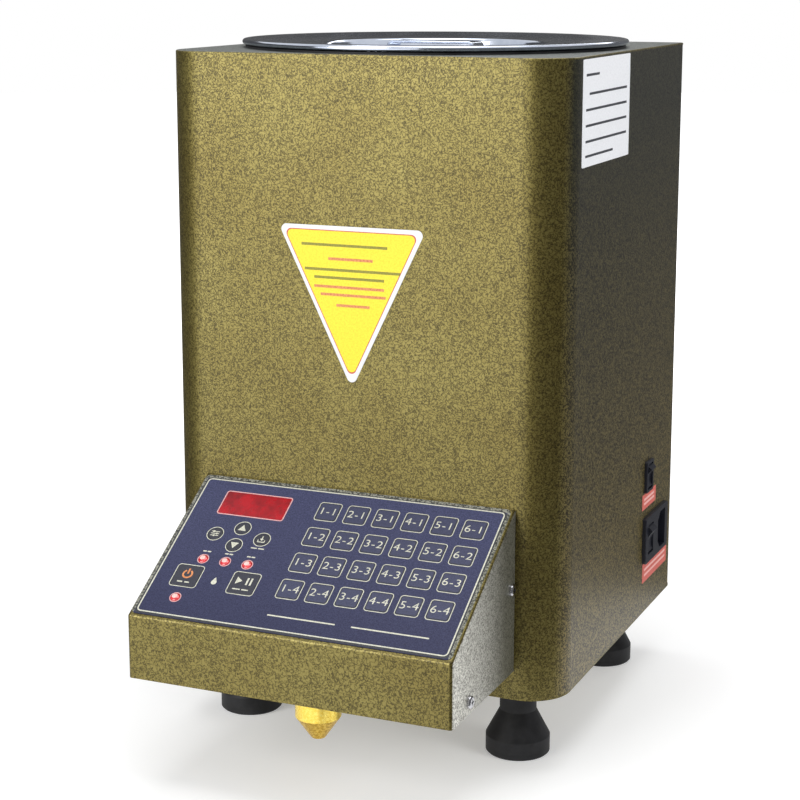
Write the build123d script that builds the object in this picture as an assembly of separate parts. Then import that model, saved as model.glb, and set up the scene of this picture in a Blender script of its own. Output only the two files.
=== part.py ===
from build123d import *
import math
import os

# Syrup dosing machine: a heated steel pail in a sheet casing, a gear pump below it,
# and a keypad wedge on the front with a brass nozzle under it.
# All sizes are in millimetres. While modelling, x = 0 and y = 0 are the middle of the casing,
# z = 0 is the underside of the casing wall, and the front faces -y.
# At the end everything is moved so that the origin is the middle of the machine's base.

# Casing
body_width = 250.0
body_depth = 240.0
body_height = 365.0
sheet = 1.2
base_sheet = 1.5
corner_radius = 25.0
back_bend_radius = 2.5
back_flange = 18.0
tray_flange = 12.0
top_edge_radius = 0.9
fit_gap = 0.3
seat_gap = 0.3
wall_hole_width = 52.0
wall_hole_height = 42.0
wall_hole_bottom = 19.0

# Back panel
panel_inset = 3.0
vent_length = 42.0
vent_width = 3.0
vent_pitch = 9.0
vent_rows = 8
vent_columns = 2
vent_column_pitch = 70.0
vent_bottom = 40.0
edge_screw_inset = 9.0
edge_screw_heights = (60.0, 182.0, 304.0)

# Pail, its seal, outlet and heater
pail_radius = 109.0
pail_wall = 0.8
pail_floor_fall = 5.0
pail_corner_radius = 9.0
bead_radius = 1.35
pail_hole_gap = 1.2
seal_width = 6.0
seal_thickness = 1.2
outlet_flange_radius = 16.0
outlet_flange_thickness = 2.0
outlet_radius = 9.8
outlet_nut_flats = 27.0
outlet_nut_height = 6.0
outlet_drop = 14.0
outlet_above_pump = 26.85
outlet_flange_lift = 0.8
outlet_nut_gap = 0.1
outlet_shoulder = 2.0
heater_thickness = 2.4
heater_height = 55.0
heater_above_floor = 24.1
heater_ear = 6.0

# Lid
lid_radius = 118.5
lid_thickness = 0.8
lid_curl_radius = 1.6
lid_recess_radius = 68.0
lid_recess_depth = 16.0
lid_recess_slope = 4.0
lid_press_radius = 2.0
lid_skirt_gap = 1.0
lid_skirt_depth = 7.0
grip_length = 56.0
grip_width = 18.0
grip_thickness = 1.6
grip_below_rim = 1.4
grip_foot = 11.0

# Control box on the front
box_width = 198.0
box_depth = 96.0
box_bottom = 16.0
box_lip_top = 53.4
box_wall_top = 113.0
box_bend_radius = 2.0
pan_flange = 14.0
pan_ear_depth = 20.0
pan_ear_top = 76.0
box_screw_places = ((-126.0, 66.5), (-191.3, 23.4))

# Keypad on the sloping panel. The places in the left group are across from the middle
# of the display and up the slope from the lip.
overlay_side_margin = 1.5
overlay_start = 2.0
overlay_end_margin = 2.0
overlay_thickness = 0.5
overlay_corner = 3.0
key_columns = 6
key_rows = 4
key_spacing = 5.3
key_length = 12.9
keys_from_display = 46.9
keys_from_side = 16.9
key_first_up = 92.9
key_pitch_up = 19.85
key_gap = 0.25
key_proud = 0.25
key_body = 1.9
key_corner = 1.6
key_stem_radius = 1.9
key_travel = 0.4
key_rest_gap = 0.1
round_key_radius = 4.5
round_keys = {
    "key_up": (0.0, 72.7),
    "key_down": (0.0, 59.5),
    "key_set": (-15.3, 66.2),
    "key_store": (15.3, 66.2),
}
wide_key_width = 15.9
wide_key_length = 15.2
wide_keys = {
    "key_power": (-18.6, 32.9),
    "key_stop": (17.9, 32.9),
}
display_width = 42.0
display_length = 17.2
display_from_side = 40.7
display_up = 90.9
lamp_radius = 2.95
lamp_places = ((-14.3, 46.6), (-0.05, 46.6), (14.2, 46.6), (-18.6, 16.7))
window_gap = 0.15

# Control board behind the panel
board_side_margin = 5.0
board_start = 8.0
board_end = 103.0
board_thickness = 1.6
board_below = 8.0
push_switch_size = 6.0
push_switch_height = 3.2
push_button_radius = 1.7
standoff_radius = 2.5
standoff_inset = 3.5
display_block_width = 50.3
display_block_length = 19.0
lamp_body_radius = 2.5

# Gear pump
tooth_count = 14
gear_module = 1.75
pressure_angle = 20.0
backlash = 0.16
gear_width = 14.0
gear_side_gap = 0.1
gear_tip_gap = 0.15
shaft_radius = 4.0
shaft_clearance = 0.05
pump_height_above_base = 64.0
pump_wall = 8.0
pump_back_wall = 10.0
pump_cover_thickness = 6.0
journal_depth = 4.0
port_radius = 4.0
port_drop = 12.5
port_length = 15.0
pump_bolt_radius = 2.0
motor_gearbox_radius = 18.5
motor_gearbox_length = 22.0
motor_can_radius = 17.3
motor_can_length = 57.0
motor_shaft_depth = 10.0
bracket_thickness = 2.0
bracket_foot = 30.0

# Hoses, nozzle
hose_radius = 8.0
barb_radius = 5.45
barb_bore = 4.0
hose_fit = 0.05
hose_grip = 12.0
nozzle_y = -173.2
nozzle_radius = 13.3
nozzle_cylinder_bottom = -6.7
nozzle_cone_bottom = -19.6
nozzle_mouth_radius = 4.2
nozzle_bore = 2.5
nozzle_bore_length = 8.0
nozzle_seat_gap = 0.2
thread_radius = 9.0
thread_clearance = 0.06
thread_end = 2.0
spout_flange_radius = 13.0
spout_flange_thickness = 3.0
spout_height = 22.0
spout_arm = 24.0

# Power supply
supply_width = 84.0
supply_depth = 80.0
supply_height = 36.0
supply_place = (-79.0, 34.0)

# Side switch and mains inlet, on the right wall
switch_place = (60.0, 90.3)
switch_bezel = (15.0, 21.0)
switch_body = (12.8, 19.2)
switch_body_depth = 15.0
switch_proud = 2.0
switch_opening = 10.6
switch_rocker_radius = 8.1
inlet_place = (76.5, 48.0)
inlet_bezel = (51.5, 31.0)
inlet_body = (46.8, 27.2)
inlet_body_depth = 19.0
inlet_proud = 2.7
inlet_switch_shift = -14.5
inlet_opening = 11.6
inlet_rocker_radius = 9.6
socket_shift = 10.5
socket_size = (16.6, 24.4)
socket_chamfer = 5.0
socket_depth = 16.0
pin_size = (2.0, 4.0)
pin_spread = 7.0
pin_offset = 2.0
pin_recess = 4.4
pin_tail = 8.0
rocker_pivot_depth = 2.0
rocker_face_angle = 39.0
rocker_dip = 2.2
rocker_tilt = 12.0
rocker_gap = 0.3
rocker_pin_radius = 1.2
rocker_pin_length = 0.7
rocker_pin_clearance = 0.06

# Feet
foot_x = 89.5
foot_y = 84.5
foot_height = 45.5
foot_radius = 19.2
foot_rim_height = 10.8
foot_neck_radius = 11.0
foot_cone_top = 26.4
foot_hole_radius = 6.5
foot_hole_depth = 20.0
foot_bolt_radius = 3.0

# Screws
screw_head_radius = 3.6
screw_head_height = 2.2
screw_radius = 1.6
screw_length = 6.0
screw_clearance = 0.15

side_x = body_width / 2
front_y = -body_depth / 2
back_y = body_depth / 2
shell_top = body_height - sheet
lip_y = front_y - box_depth
slope_rise = box_wall_top - box_lip_top
slope_angle = math.degrees(math.atan2(slope_rise, box_depth))
slope_length = math.hypot(box_depth, slope_rise)
slope = Plane(
    origin=(0, lip_y, box_lip_top),
    x_dir=(1, 0, 0),
    z_dir=(0, -math.sin(math.radians(slope_angle)), math.cos(math.radians(slope_angle))),
)
bead_top = body_height + seal_thickness + 2 * bead_radius
lid_top = bead_top + seat_gap + lid_thickness
pail_outer = pail_radius + pail_wall
plate_hole_radius = pail_outer + pail_hole_gap
overlay_width = box_width - 2 * overlay_side_margin
overlay_length = slope_length - overlay_start - overlay_end_margin
display_across = display_from_side - overlay_width / 2
key_first_across = display_across + keys_from_display
key_pitch_across = (overlay_width / 2 - keys_from_side - key_first_across) / (key_columns - 1)
key_width = key_pitch_across - key_spacing
board_width = box_width - 2 * board_side_margin
pitch_radius = gear_module * tooth_count / 2
tip_radius = pitch_radius + gear_module
root_radius = pitch_radius - 1.25 * gear_module
cavity_radius = tip_radius + gear_tip_gap
cavity_depth = gear_width + 2 * gear_side_gap
pump_front = -cavity_depth / 2
pump_back = pump_front + cavity_depth + pump_back_wall
pump_half_width = pitch_radius + cavity_radius + pump_wall
pump_half_height = cavity_radius + pump_wall
pump_top = pump_height_above_base + pump_half_height
outlet_end = pump_top + outlet_above_pump
outlet_barb_top = outlet_end + outlet_drop
outlet_nut_top = outlet_barb_top + outlet_shoulder + outlet_nut_height
pail_floor_low = outlet_nut_top + outlet_nut_gap + pail_wall
pail_floor_edge = pail_floor_low + pail_floor_fall
heater_bottom = pail_floor_edge + heater_above_floor
motor_front = pump_back + bracket_thickness
port_z = pump_height_above_base - port_drop
spout_base = box_bottom + sheet
spout_arm_z = spout_base + spout_flange_thickness + spout_height / 2
foot_top = -base_sheet
floor_z = foot_top - foot_height


def block(x0, x1, y0, y1, z0, z1):
    """A box given by its limits."""
    size = (x1 - x0, y1 - y0, z1 - z0)
    middle = ((x0 + x1) / 2, (y0 + y1) / 2, (z0 + z1) / 2)
    return Pos(*middle) * Box(*size)


def rod(radius, start, direction, length):
    """A round bar from a start point along a direction."""
    plane = Plane(origin=start, z_dir=direction)
    return plane * Cylinder(radius, length, align=(Align.CENTER, Align.CENTER, Align.MIN))


def rounded_slab(width, length, thickness, radius):
    """A plate with round corners, standing on z = 0."""
    return extrude(RectangleRounded(width, length, radius), thickness)


def casing_outline(inset, back):
    """The casing's plan: large round corners at the front, tight bends at the back."""
    depth = back - inset - (front_y + inset)
    middle = (front_y + inset + back - inset) / 2
    plan = Pos(0, middle) * Rectangle(body_width - 2 * inset, depth)
    rows = plan.vertices().group_by(Axis.Y)
    plan = fillet(rows[0], corner_radius - inset)
    rows = plan.vertices().group_by(Axis.Y)
    return fillet(rows[-1], max(back_bend_radius - inset, 0.4))


def slab_of(plan, bottom, top):
    return Pos(0, 0, bottom) * extrude(plan, top - bottom)


def screw(head_radius, head_height, radius, length):
    """A pan head screw with its seat at z = 0 and its shank down, with a cross recess."""
    head = Cylinder(head_radius, head_height, align=(Align.CENTER, Align.CENTER, Align.MIN))
    head = fillet(head.edges().group_by(Axis.Z)[-1], head_height * 0.55)
    recess_depth = head_height * 0.5
    for turn in (0, 90):
        slot = Box(head_radius * 0.95, head_radius * 0.24, recess_depth)
        head -= Pos(0, 0, head_height - recess_depth / 2 + 0.01) * Rot(0, 0, turn) * slot
    shank = Cylinder(radius, length, align=(Align.CENTER, Align.CENTER, Align.MAX))
    return head + shank


def small_screw(place, outward):
    return Plane(origin=place, z_dir=outward) * screw(
        screw_head_radius, screw_head_height, screw_radius, screw_length)


def screw_hole(place, outward):
    start = Vector(*place) + Vector(*outward) * 10
    return rod(screw_radius + screw_clearance, start, Vector(*outward) * -1, 20)


def back_screw_places():
    """Edge screws of the back panel: into the casing's back flanges and the base's flange."""
    side = side_x - edge_screw_inset
    places = [(x, back_y, z) for x in (-side, side) for z in edge_screw_heights]
    places += [(x, back_y, tray_flange / 2) for x in (-side / 2, side / 2)]
    places += [(x, back_y, shell_top - tray_flange / 2) for x in (-side / 2, side / 2)]
    return places


def side_box(place, size, x0, x1):
    """A block through the right wall, centred on a place given as (y, z)."""
    y, z = place
    return block(x0, x1, y - size[0] / 2, y + size[0] / 2, z - size[1] / 2, z + size[1] / 2)


def make_body_shell():
    shell_back = back_y - sheet
    shell = slab_of(casing_outline(0, shell_back), 0, shell_top)
    shell -= slab_of(casing_outline(sheet, shell_back), 0, shell_top)
    doorway = side_x - back_flange
    shell -= block(-doorway, doorway, shell_back - 2 * sheet, back_y, 0, shell_top)
    shell -= block(-wall_hole_width / 2, wall_hole_width / 2, front_y - 1, front_y + 2 * sheet,
                   wall_hole_bottom, wall_hole_bottom + wall_hole_height)
    shell -= side_box(switch_place, [s + fit_gap for s in switch_body], side_x - 5, side_x + 1)
    shell -= side_box(inlet_place, [s + fit_gap for s in inlet_body], side_x - 5, side_x + 1)
    for place in back_screw_places():
        shell -= screw_hole(place, (0, 1, 0))
    return shell


def make_tray(bottom, top, flange_from, flange_to):
    """A flat sheet the size of the casing with a flange that fits inside the wall."""
    plate = slab_of(casing_outline(0, back_y), bottom, top)
    inside = sheet + fit_gap
    flange = slab_of(casing_outline(inside, back_y - sheet), flange_from, flange_to)
    flange -= slab_of(casing_outline(inside + sheet, back_y - sheet), flange_from, flange_to)
    return plate, flange


def make_top_plate():
    plate, flange = make_tray(shell_top, body_height, shell_top - tray_flange, shell_top)
    plate = fillet(plate.edges().group_by(Axis.Z)[-1], top_edge_radius)
    tray = plate + flange
    for place in back_screw_places():
        tray -= screw_hole(place, (0, 1, 0))
    return tray - Pos(0, 0, body_height) * Cylinder(plate_hole_radius, 6 * sheet)


def pump_bolt_places():
    across = pump_half_width - pump_wall / 2
    up = pump_half_height - pump_wall / 2
    return [(x, pump_height_above_base + z) for x in (-across, across) for z in (-up, up)]


def make_pump_bracket():
    """The upright that carries the pump on its front and the motor on its back."""
    upright = block(-pump_half_width, pump_half_width, pump_back, motor_front, 0, pump_top)
    foot = block(-pump_half_width, pump_half_width, motor_front, motor_front + bracket_foot,
                 0, bracket_thickness)
    upright -= rod(shaft_radius + 2, (pitch_radius, pump_back - 1, pump_height_above_base),
                   (0, 1, 0), bracket_thickness + 2)
    for x, z in pump_bolt_places():
        upright -= rod(pump_bolt_radius + screw_clearance, (x, pump_back - 1, z), (0, 1, 0),
                       bracket_thickness + 2)
    rib = make_face(Polyline((0, 0), (bracket_foot, 0), (0, bracket_foot), close=True))
    bracket = upright + foot
    for x in (-pump_half_width, pump_half_width - bracket_thickness):
        plane = Plane(origin=(x, motor_front, 0), x_dir=(0, 1, 0), z_dir=(1, 0, 0))
        bracket += plane * extrude(rib, bracket_thickness)
    return bracket


def make_base_plate():
    plate, flange = make_tray(-base_sheet, 0, 0, tray_flange)
    tray = plate + flange
    for place in back_screw_places():
        tray -= screw_hole(place, (0, 1, 0))
    for x in (-foot_x, foot_x):
        for y in (-foot_y, foot_y):
            tray -= Pos(x, y, 0) * Cylinder(foot_bolt_radius + screw_clearance, 10)
    return tray + make_pump_bracket()


def make_back_panel():
    edge = side_x - panel_inset
    panel = block(-edge, edge, back_y - sheet, back_y, 0, shell_top)
    slot = Plane(origin=(0, back_y, 0), x_dir=(1, 0, 0), z_dir=(0, 1, 0)) * extrude(
        SlotOverall(vent_length, vent_width), -3 * sheet)
    for column in range(vent_columns):
        x = (column - (vent_columns - 1) / 2) * vent_column_pitch
        for row in range(vent_rows):
            panel -= Pos(x, sheet, vent_bottom + row * vent_pitch) * slot
    for place in back_screw_places():
        panel -= screw_hole(place, (0, 1, 0))
    return panel


def make_screws():
    """Every metal screw and bolt that only fastens."""
    screws = [small_screw(place, (0, 1, 0)) for place in back_screw_places()]
    for y, z in box_screw_places:
        for side in (-1, 1):
            screws.append(small_screw((side * box_width / 2, y, z), (side, 0, 0)))
    bolt_length = pump_cover_thickness + cavity_depth + pump_back_wall + bracket_thickness
    for x, z in pump_bolt_places():
        head = screw(1.8 * pump_bolt_radius, 2 * pump_bolt_radius, pump_bolt_radius, bolt_length)
        place = (x, pump_front - pump_cover_thickness, z)
        screws.append(Plane(origin=place, z_dir=(0, -1, 0)) * head)
    head_z = floor_z + foot_hole_depth
    shank = head_z - 2 * foot_bolt_radius
    for x in (-foot_x, foot_x):
        for y in (-foot_y, foot_y):
            head = extrude(RegularPolygon(1.7 * foot_bolt_radius, 6), 1.4 * foot_bolt_radius)
            bolt = Pos(x, y, head_z - 1.4 * foot_bolt_radius) * head
            bolt += rod(foot_bolt_radius, (x, y, shank), (0, 0, 1), 5 - shank)
            bolt += Pos(x, y, 0) * extrude(RegularPolygon(1.7 * foot_bolt_radius, 6), 4)
            screws.append(bolt)
    return Compound(screws)


def make_feet():
    """Four conical feet with a bolt hole stepped from below."""
    points = [
        (foot_hole_radius, 0),
        (foot_radius - 1, 0),
        (foot_radius, 1),
        (foot_radius, foot_rim_height),
        (foot_neck_radius, foot_cone_top),
        (foot_neck_radius, foot_height),
        (foot_bolt_radius + screw_clearance, foot_height),
        (foot_bolt_radius + screw_clearance, foot_hole_depth),
        (foot_hole_radius, foot_hole_depth),
    ]
    profile = Plane.XZ * make_face(Polyline(*points, close=True))
    foot = Pos(0, 0, floor_z) * revolve(profile, Axis.Z)
    return Compound([Pos(x, y, 0) * foot
                     for x in (-foot_x, foot_x) for y in (-foot_y, foot_y)])


def ring_profile(points):
    """Revolve a closed (radius, height) outline about the pail's axis."""
    return revolve(Plane.XZ * make_face(Polyline(*points, close=True)), Axis.Z)


def make_pail():
    """Spun pail: dished floor with a round corner, straight wall, rolled bead on top."""
    def skin(inset, top):
        wall = pail_outer - inset
        low = pail_floor_low - pail_wall + inset
        edge = pail_floor_edge - pail_wall + inset
        plan = make_face(Polyline((0, low), (wall, edge), (wall, top), (0, top), close=True))
        corner = plan.vertices().sort_by_distance((wall, edge))[0]
        plan = fillet(corner, pail_corner_radius - inset)
        return revolve(Plane.XZ * plan, Axis.Z)
    wall_top = bead_top - bead_radius
    pail = skin(0, wall_top) - skin(pail_wall, wall_top + 1)
    bead = Plane.XZ * (Pos(pail_outer + bead_radius - 0.3, wall_top) * Circle(bead_radius))
    pail += revolve(bead, Axis.Z)
    return pail - Pos(0, 0, pail_floor_low) * Cylinder(outlet_radius + fit_gap, 20)


def make_pail_seal():
    inner = pail_outer + fit_gap
    outer = plate_hole_radius + seal_width - 0.5
    low = body_height
    high = low + seal_thickness
    return ring_profile([(inner, low), (outer, low), (outer, high), (inner, high)])


def make_pail_outlet():
    """Flanged outlet pipe through the floor, its nut below and a hose barb at the end."""
    seat = pail_floor_low + outlet_flange_lift
    pipe = Pos(0, 0, seat) * Cylinder(outlet_flange_radius, outlet_flange_thickness,
                                      align=(Align.CENTER, Align.CENTER, Align.MIN))
    pipe += rod(outlet_radius, (0, 0, outlet_barb_top), (0, 0, 1), seat - outlet_barb_top)
    pipe += rod(barb_radius, (0, 0, outlet_end), (0, 0, 1), outlet_drop)
    pipe_top = seat + outlet_flange_thickness
    pipe -= rod(barb_bore, (0, 0, outlet_end), (0, 0, 1), pipe_top - outlet_end + 1)
    nut = extrude(RegularPolygon(outlet_nut_flats / 2, 6, major_radius=False), outlet_nut_height)
    nut -= Cylinder(outlet_radius + hose_fit, 40)
    return Compound([pipe, Pos(0, 0, outlet_nut_top - outlet_nut_height) * nut])


def make_heater_band():
    """A band heater: an open ring drawn together by a screw through two ears."""
    inner = pail_outer + fit_gap
    outer = inner + heater_thickness
    top = heater_bottom + heater_height
    band = ring_profile([(inner, heater_bottom), (outer, heater_bottom),
                         (outer, top), (inner, top)])
    gap = 4.0
    band -= block(-gap / 2, gap / 2, inner - 5, outer + 5, heater_bottom, top)
    for side in (-1, 1):
        near = side * gap / 2
        far = side * (gap / 2 + 1.5)
        band += block(min(near, far), max(near, far), inner + 0.5, outer + heater_ear,
                      heater_bottom + 6, top - 6)
    return band


def make_pail_lid():
    """Pressed lid: flat ring with a rolled edge, a deep recess, a skirt and a strap grip."""
    under = lid_top - lid_thickness
    skirt = pail_radius - lid_skirt_gap
    curl = lid_radius - lid_curl_radius
    floor_radius = lid_recess_radius - lid_recess_slope
    floor_top = lid_top - lid_recess_depth
    half = lid_thickness / 2
    plan = make_face(Polyline(
        (0, floor_top), (floor_radius, floor_top), (lid_recess_radius, lid_top),
        (curl, lid_top), (curl, under), (lid_recess_radius, under),
        (floor_radius, floor_top - lid_thickness), (0, floor_top - lid_thickness), close=True))
    corners = plan.vertices().filter_by(lambda v: floor_radius - 1 < v.X < lid_recess_radius + 1)
    plan = fillet(corners, lid_press_radius)
    lid = revolve(Plane.XZ * plan, Axis.Z)
    edge = Pos(curl, lid_top - lid_curl_radius) * Circle(lid_curl_radius)
    lid += revolve(Plane.XZ * edge, Axis.Z)
    lid += ring_profile([(skirt - lid_thickness, under - lid_skirt_depth),
                         (skirt, under - lid_skirt_depth),
                         (skirt, under + half), (skirt - lid_thickness, under + half)])
    return lid + make_grip(floor_top)


def make_grip(floor_top):
    """A strap bent like a low bridge, spot welded on the recess floor."""
    top = lid_top - grip_below_rim - grip_thickness / 2
    low = floor_top + grip_thickness / 2 - 0.05
    reach = grip_length / 2
    path = FilletPolyline((-reach - grip_foot, low), (-reach, low), (-reach, top),
                          (reach, top), (reach, low), (reach + grip_foot, low), radius=3.0)
    strap = Plane.XZ * extrude(trace(path, grip_thickness), grip_width)
    return Pos(0, grip_width / 2, 0) * strap


def box_profile():
    """Side view of the control box: y across, z up."""
    return [(front_y, box_bottom), (lip_y, box_bottom), (lip_y, box_lip_top),
            (front_y, box_wall_top)]


def on_slope(across, up, depth, shape):
    """Put a shape on the sloping panel, depth measured out of its face."""
    return slope * (Pos(across, up, depth) * shape)


def key_places():
    """Every rectangular dose key, named by column and row."""
    places = {}
    for column in range(key_columns):
        for row in range(key_rows):
            across = key_first_across + column * key_pitch_across
            up = key_first_up - row * key_pitch_up
            places[f"key_{column + 1}_{row + 1}"] = (across, up)
    return places


def left_group(places):
    """Places across from the display's middle, turned into places on the panel."""
    return [(display_across + across, up) for across, up in places]


def panel_windows(thickness, gap):
    """Cutters for every key, lamp and display opening, centred on the panel's face."""
    cutters = []
    for across, up in key_places().values():
        plan = RectangleRounded(key_width + 2 * gap, key_length + 2 * gap, key_corner)
        cutters.append((across, up, plan))
    for across, up in left_group(wide_keys.values()):
        plan = RectangleRounded(wide_key_width + 2 * gap, wide_key_length + 2 * gap, key_corner)
        cutters.append((across, up, plan))
    for across, up in left_group(round_keys.values()):
        cutters.append((across, up, Circle(round_key_radius + gap)))
    display = Rectangle(display_width + 2 * window_gap, display_length + 2 * window_gap)
    cutters.append((display_across, display_up, display))
    for across, up in left_group(lamp_places):
        cutters.append((across, up, Circle(lamp_radius + window_gap)))
    return [on_slope(across, up, 0, extrude(plan, thickness, both=True))
            for across, up, plan in cutters]


def make_control_box():
    """One folded sheet: lip, slope and both sides, open below and at the back."""
    plane = Plane(origin=(-box_width / 2, 0, 0), x_dir=(0, 1, 0), z_dir=(1, 0, 0))
    outer = plane * extrude(make_face(Polyline(*box_profile(), close=True)), box_width)
    inside = sheet / math.cos(math.radians(slope_angle))
    corner_drop = sheet * math.tan(math.radians(slope_angle))
    inner_points = [(front_y + 1, box_bottom - 1), (lip_y + sheet, box_bottom - 1),
                    (lip_y + sheet, box_lip_top - inside + corner_drop),
                    (front_y + 1, box_wall_top - inside + math.tan(math.radians(slope_angle)))]
    plane = Plane(origin=(-box_width / 2 + sheet, 0, 0), x_dir=(0, 1, 0), z_dir=(1, 0, 0))
    inner = plane * extrude(make_face(Polyline(*inner_points, close=True)),
                            box_width - 2 * sheet)
    folds = [edge for edge in outer.edges()
             if edge.center().Y < front_y - 1 and edge.center().Z > box_bottom + 1]
    cover = fillet(folds, box_bend_radius) - inner
    for cutter in panel_windows(4 * sheet, key_gap):
        cover -= cutter
    for y, z in box_screw_places:
        for side in (-1, 1):
            cover -= screw_hole((side * box_width / 2, y, z), (side, 0, 0))
    return cover


def make_control_box_base():
    """The pan under the control box: it is fixed to the casing and the cover screws to it."""
    half = box_width / 2 - sheet - fit_gap / 2
    near = lip_y + sheet + fit_gap
    pan = block(-half, half, near, front_y, box_bottom, box_bottom + sheet)
    pan += block(-half, half, front_y - sheet, front_y, box_bottom, wall_hole_bottom + 1)
    for side in (-1, 1):
        x0, x1 = sorted((side * half, side * (half - sheet)))
        pan += block(x0, x1, near, front_y, box_bottom, box_bottom + pan_flange)
        pan += block(x0, x1, front_y - pan_ear_depth, front_y, box_bottom, pan_ear_top)
        for y, z in box_screw_places:
            pan -= screw_hole((side * box_width / 2, y, z), (side, 0, 0))
    return pan - Pos(0, nozzle_y, box_bottom) * Cylinder(thread_radius + fit_gap, 20)


def make_panel_overlay():
    middle = overlay_start + overlay_length / 2
    overlay = on_slope(0, middle, 0, rounded_slab(overlay_width, overlay_length,
                                                  overlay_thickness, overlay_corner))
    for cutter in panel_windows(2 * overlay_thickness, key_gap):
        overlay -= cutter
    return overlay


def make_key(plan, place):
    """A key cap that stands a little proud, with a stem towards its push switch."""
    top = overlay_thickness + key_proud
    cap = extrude(plan, key_body)
    cap = fillet(cap.edges().group_by(Axis.Z)[-1], 0.3)
    stem_end = -board_below + board_button_top() + key_travel + key_rest_gap
    stem = rod(key_stem_radius, (0, 0, stem_end), (0, 0, 1), top - key_body - stem_end)
    return on_slope(*place, 0, Pos(0, 0, top - key_body) * cap + stem)


def board_button_top():
    """Height of a push switch with its button above the board."""
    return push_switch_height + 0.9


def make_keys():
    keys = {}
    square = RectangleRounded(key_width, key_length, key_corner - key_gap)
    for name, place in key_places().items():
        keys[name] = make_key(square, place)
    for name, place in zip(round_keys, left_group(round_keys.values())):
        keys[name] = make_key(Circle(round_key_radius), place)
    wide = RectangleRounded(wide_key_width, wide_key_length, key_corner - key_gap)
    for name, place in zip(wide_keys, left_group(wide_keys.values())):
        keys[name] = make_key(wide, place)
    return keys


def make_panel_windows():
    """Red display filter and the round lamp windows, flush with the overlay."""
    depth = sheet + overlay_thickness
    windows = [on_slope(display_across, display_up, -sheet,
                        extrude(Rectangle(display_width, display_length), depth))]
    for across, up in left_group(lamp_places):
        windows.append(on_slope(across, up, -sheet, extrude(Circle(lamp_radius), depth)))
    return Compound(windows)


def make_control_board():
    """Board with a push switch under each key, the display block, lamps and standoffs."""
    middle = (board_start + board_end) / 2
    length = board_end - board_start
    top = -board_below
    board = on_slope(0, middle, top - board_thickness,
                     rounded_slab(board_width, length, board_thickness, 2))
    singles = [*round_keys.values(), *wide_keys.values()]
    for across, up in [*key_places().values(), *left_group(singles)]:
        body = Pos(0, 0, push_switch_height / 2) * Box(
            push_switch_size, push_switch_size, push_switch_height)
        button = rod(push_button_radius, (0, 0, 0), (0, 0, 1), board_button_top())
        board += on_slope(across, up, top, body + button)
    block_height = board_below - sheet - fit_gap
    display = Pos(0, 0, block_height / 2) * Box(
        display_block_width, display_block_length, block_height)
    board += on_slope(display_across, display_up, top, display)
    for across, up in left_group(lamp_places):
        board += on_slope(across, up, top, rod(lamp_body_radius, (0, 0, 0), (0, 0, 1), block_height))
    for across in (-1, 1):
        for up in (board_start + standoff_inset, board_end - standoff_inset):
            post = rod(standoff_radius, (0, 0, 0), (0, 0, 1), board_below - sheet)
            board += on_slope(across * (board_width / 2 - standoff_inset), up, top, post)
    return board


def gear_plan(turn):
    """Involute gear outline, with its teeth thinned for backlash."""
    base_radius = pitch_radius * math.cos(math.radians(pressure_angle))
    roll_at_pitch = math.tan(math.radians(pressure_angle)) - math.radians(pressure_angle)
    half_tooth = math.pi / (2 * tooth_count) - backlash / (4 * pitch_radius) + roll_at_pitch

    def flank(radius):
        if radius <= base_radius:
            return half_tooth
        angle = math.acos(base_radius / radius)
        return half_tooth - (math.tan(angle) - angle)

    start = max(base_radius, root_radius)
    radii = [start + (tip_radius - start) * step / 4 for step in range(5)]
    points = []
    for tooth in range(tooth_count):
        middle = 2 * math.pi * tooth / tooth_count + turn
        side = [(root_radius, -half_tooth)] + [(r, -flank(r)) for r in radii]
        side += [(r, flank(r)) for r in reversed(radii)] + [(root_radius, half_tooth)]
        points += [(r * math.cos(middle + a), r * math.sin(middle + a)) for r, a in side]
    return make_face(Polyline(*points, close=True))


def make_gear(side, turn, shaft_back):
    """A pump gear on its shaft: the plan is cut in the upright plane across the shaft."""
    plane = Plane(origin=(side * pitch_radius, pump_front + gear_side_gap, pump_height_above_base),
                  x_dir=(1, 0, 0), z_dir=(0, 1, 0))
    gear = plane * extrude(gear_plan(turn), gear_width)
    shaft_front = pump_front - journal_depth + gear_side_gap
    start = (side * pitch_radius, shaft_front, pump_height_above_base)
    return gear + rod(shaft_radius, start, (0, 1, 0), shaft_back - shaft_front)


def make_drive_gear():
    return make_gear(1, math.pi, motor_front + motor_shaft_depth - 1)


def make_driven_gear():
    half_pitch = math.pi / tooth_count
    back = pump_front + cavity_depth + pump_back_wall - 2 - gear_side_gap
    return make_gear(-1, half_pitch, back)


def pump_slab(y0, y1):
    """A slice of the pump body with round shoulders."""
    plane = Plane(origin=(0, y0, pump_height_above_base), x_dir=(1, 0, 0), z_dir=(0, -1, 0))
    plan = RectangleRounded(2 * pump_half_width, 2 * pump_half_height, 6)
    return plane * extrude(plan, -(y1 - y0))


def pump_bore(side, start, length):
    place = (side * pitch_radius, start, pump_height_above_base)
    return rod(shaft_radius + shaft_clearance, place, (0, 1, 0), length)


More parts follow.
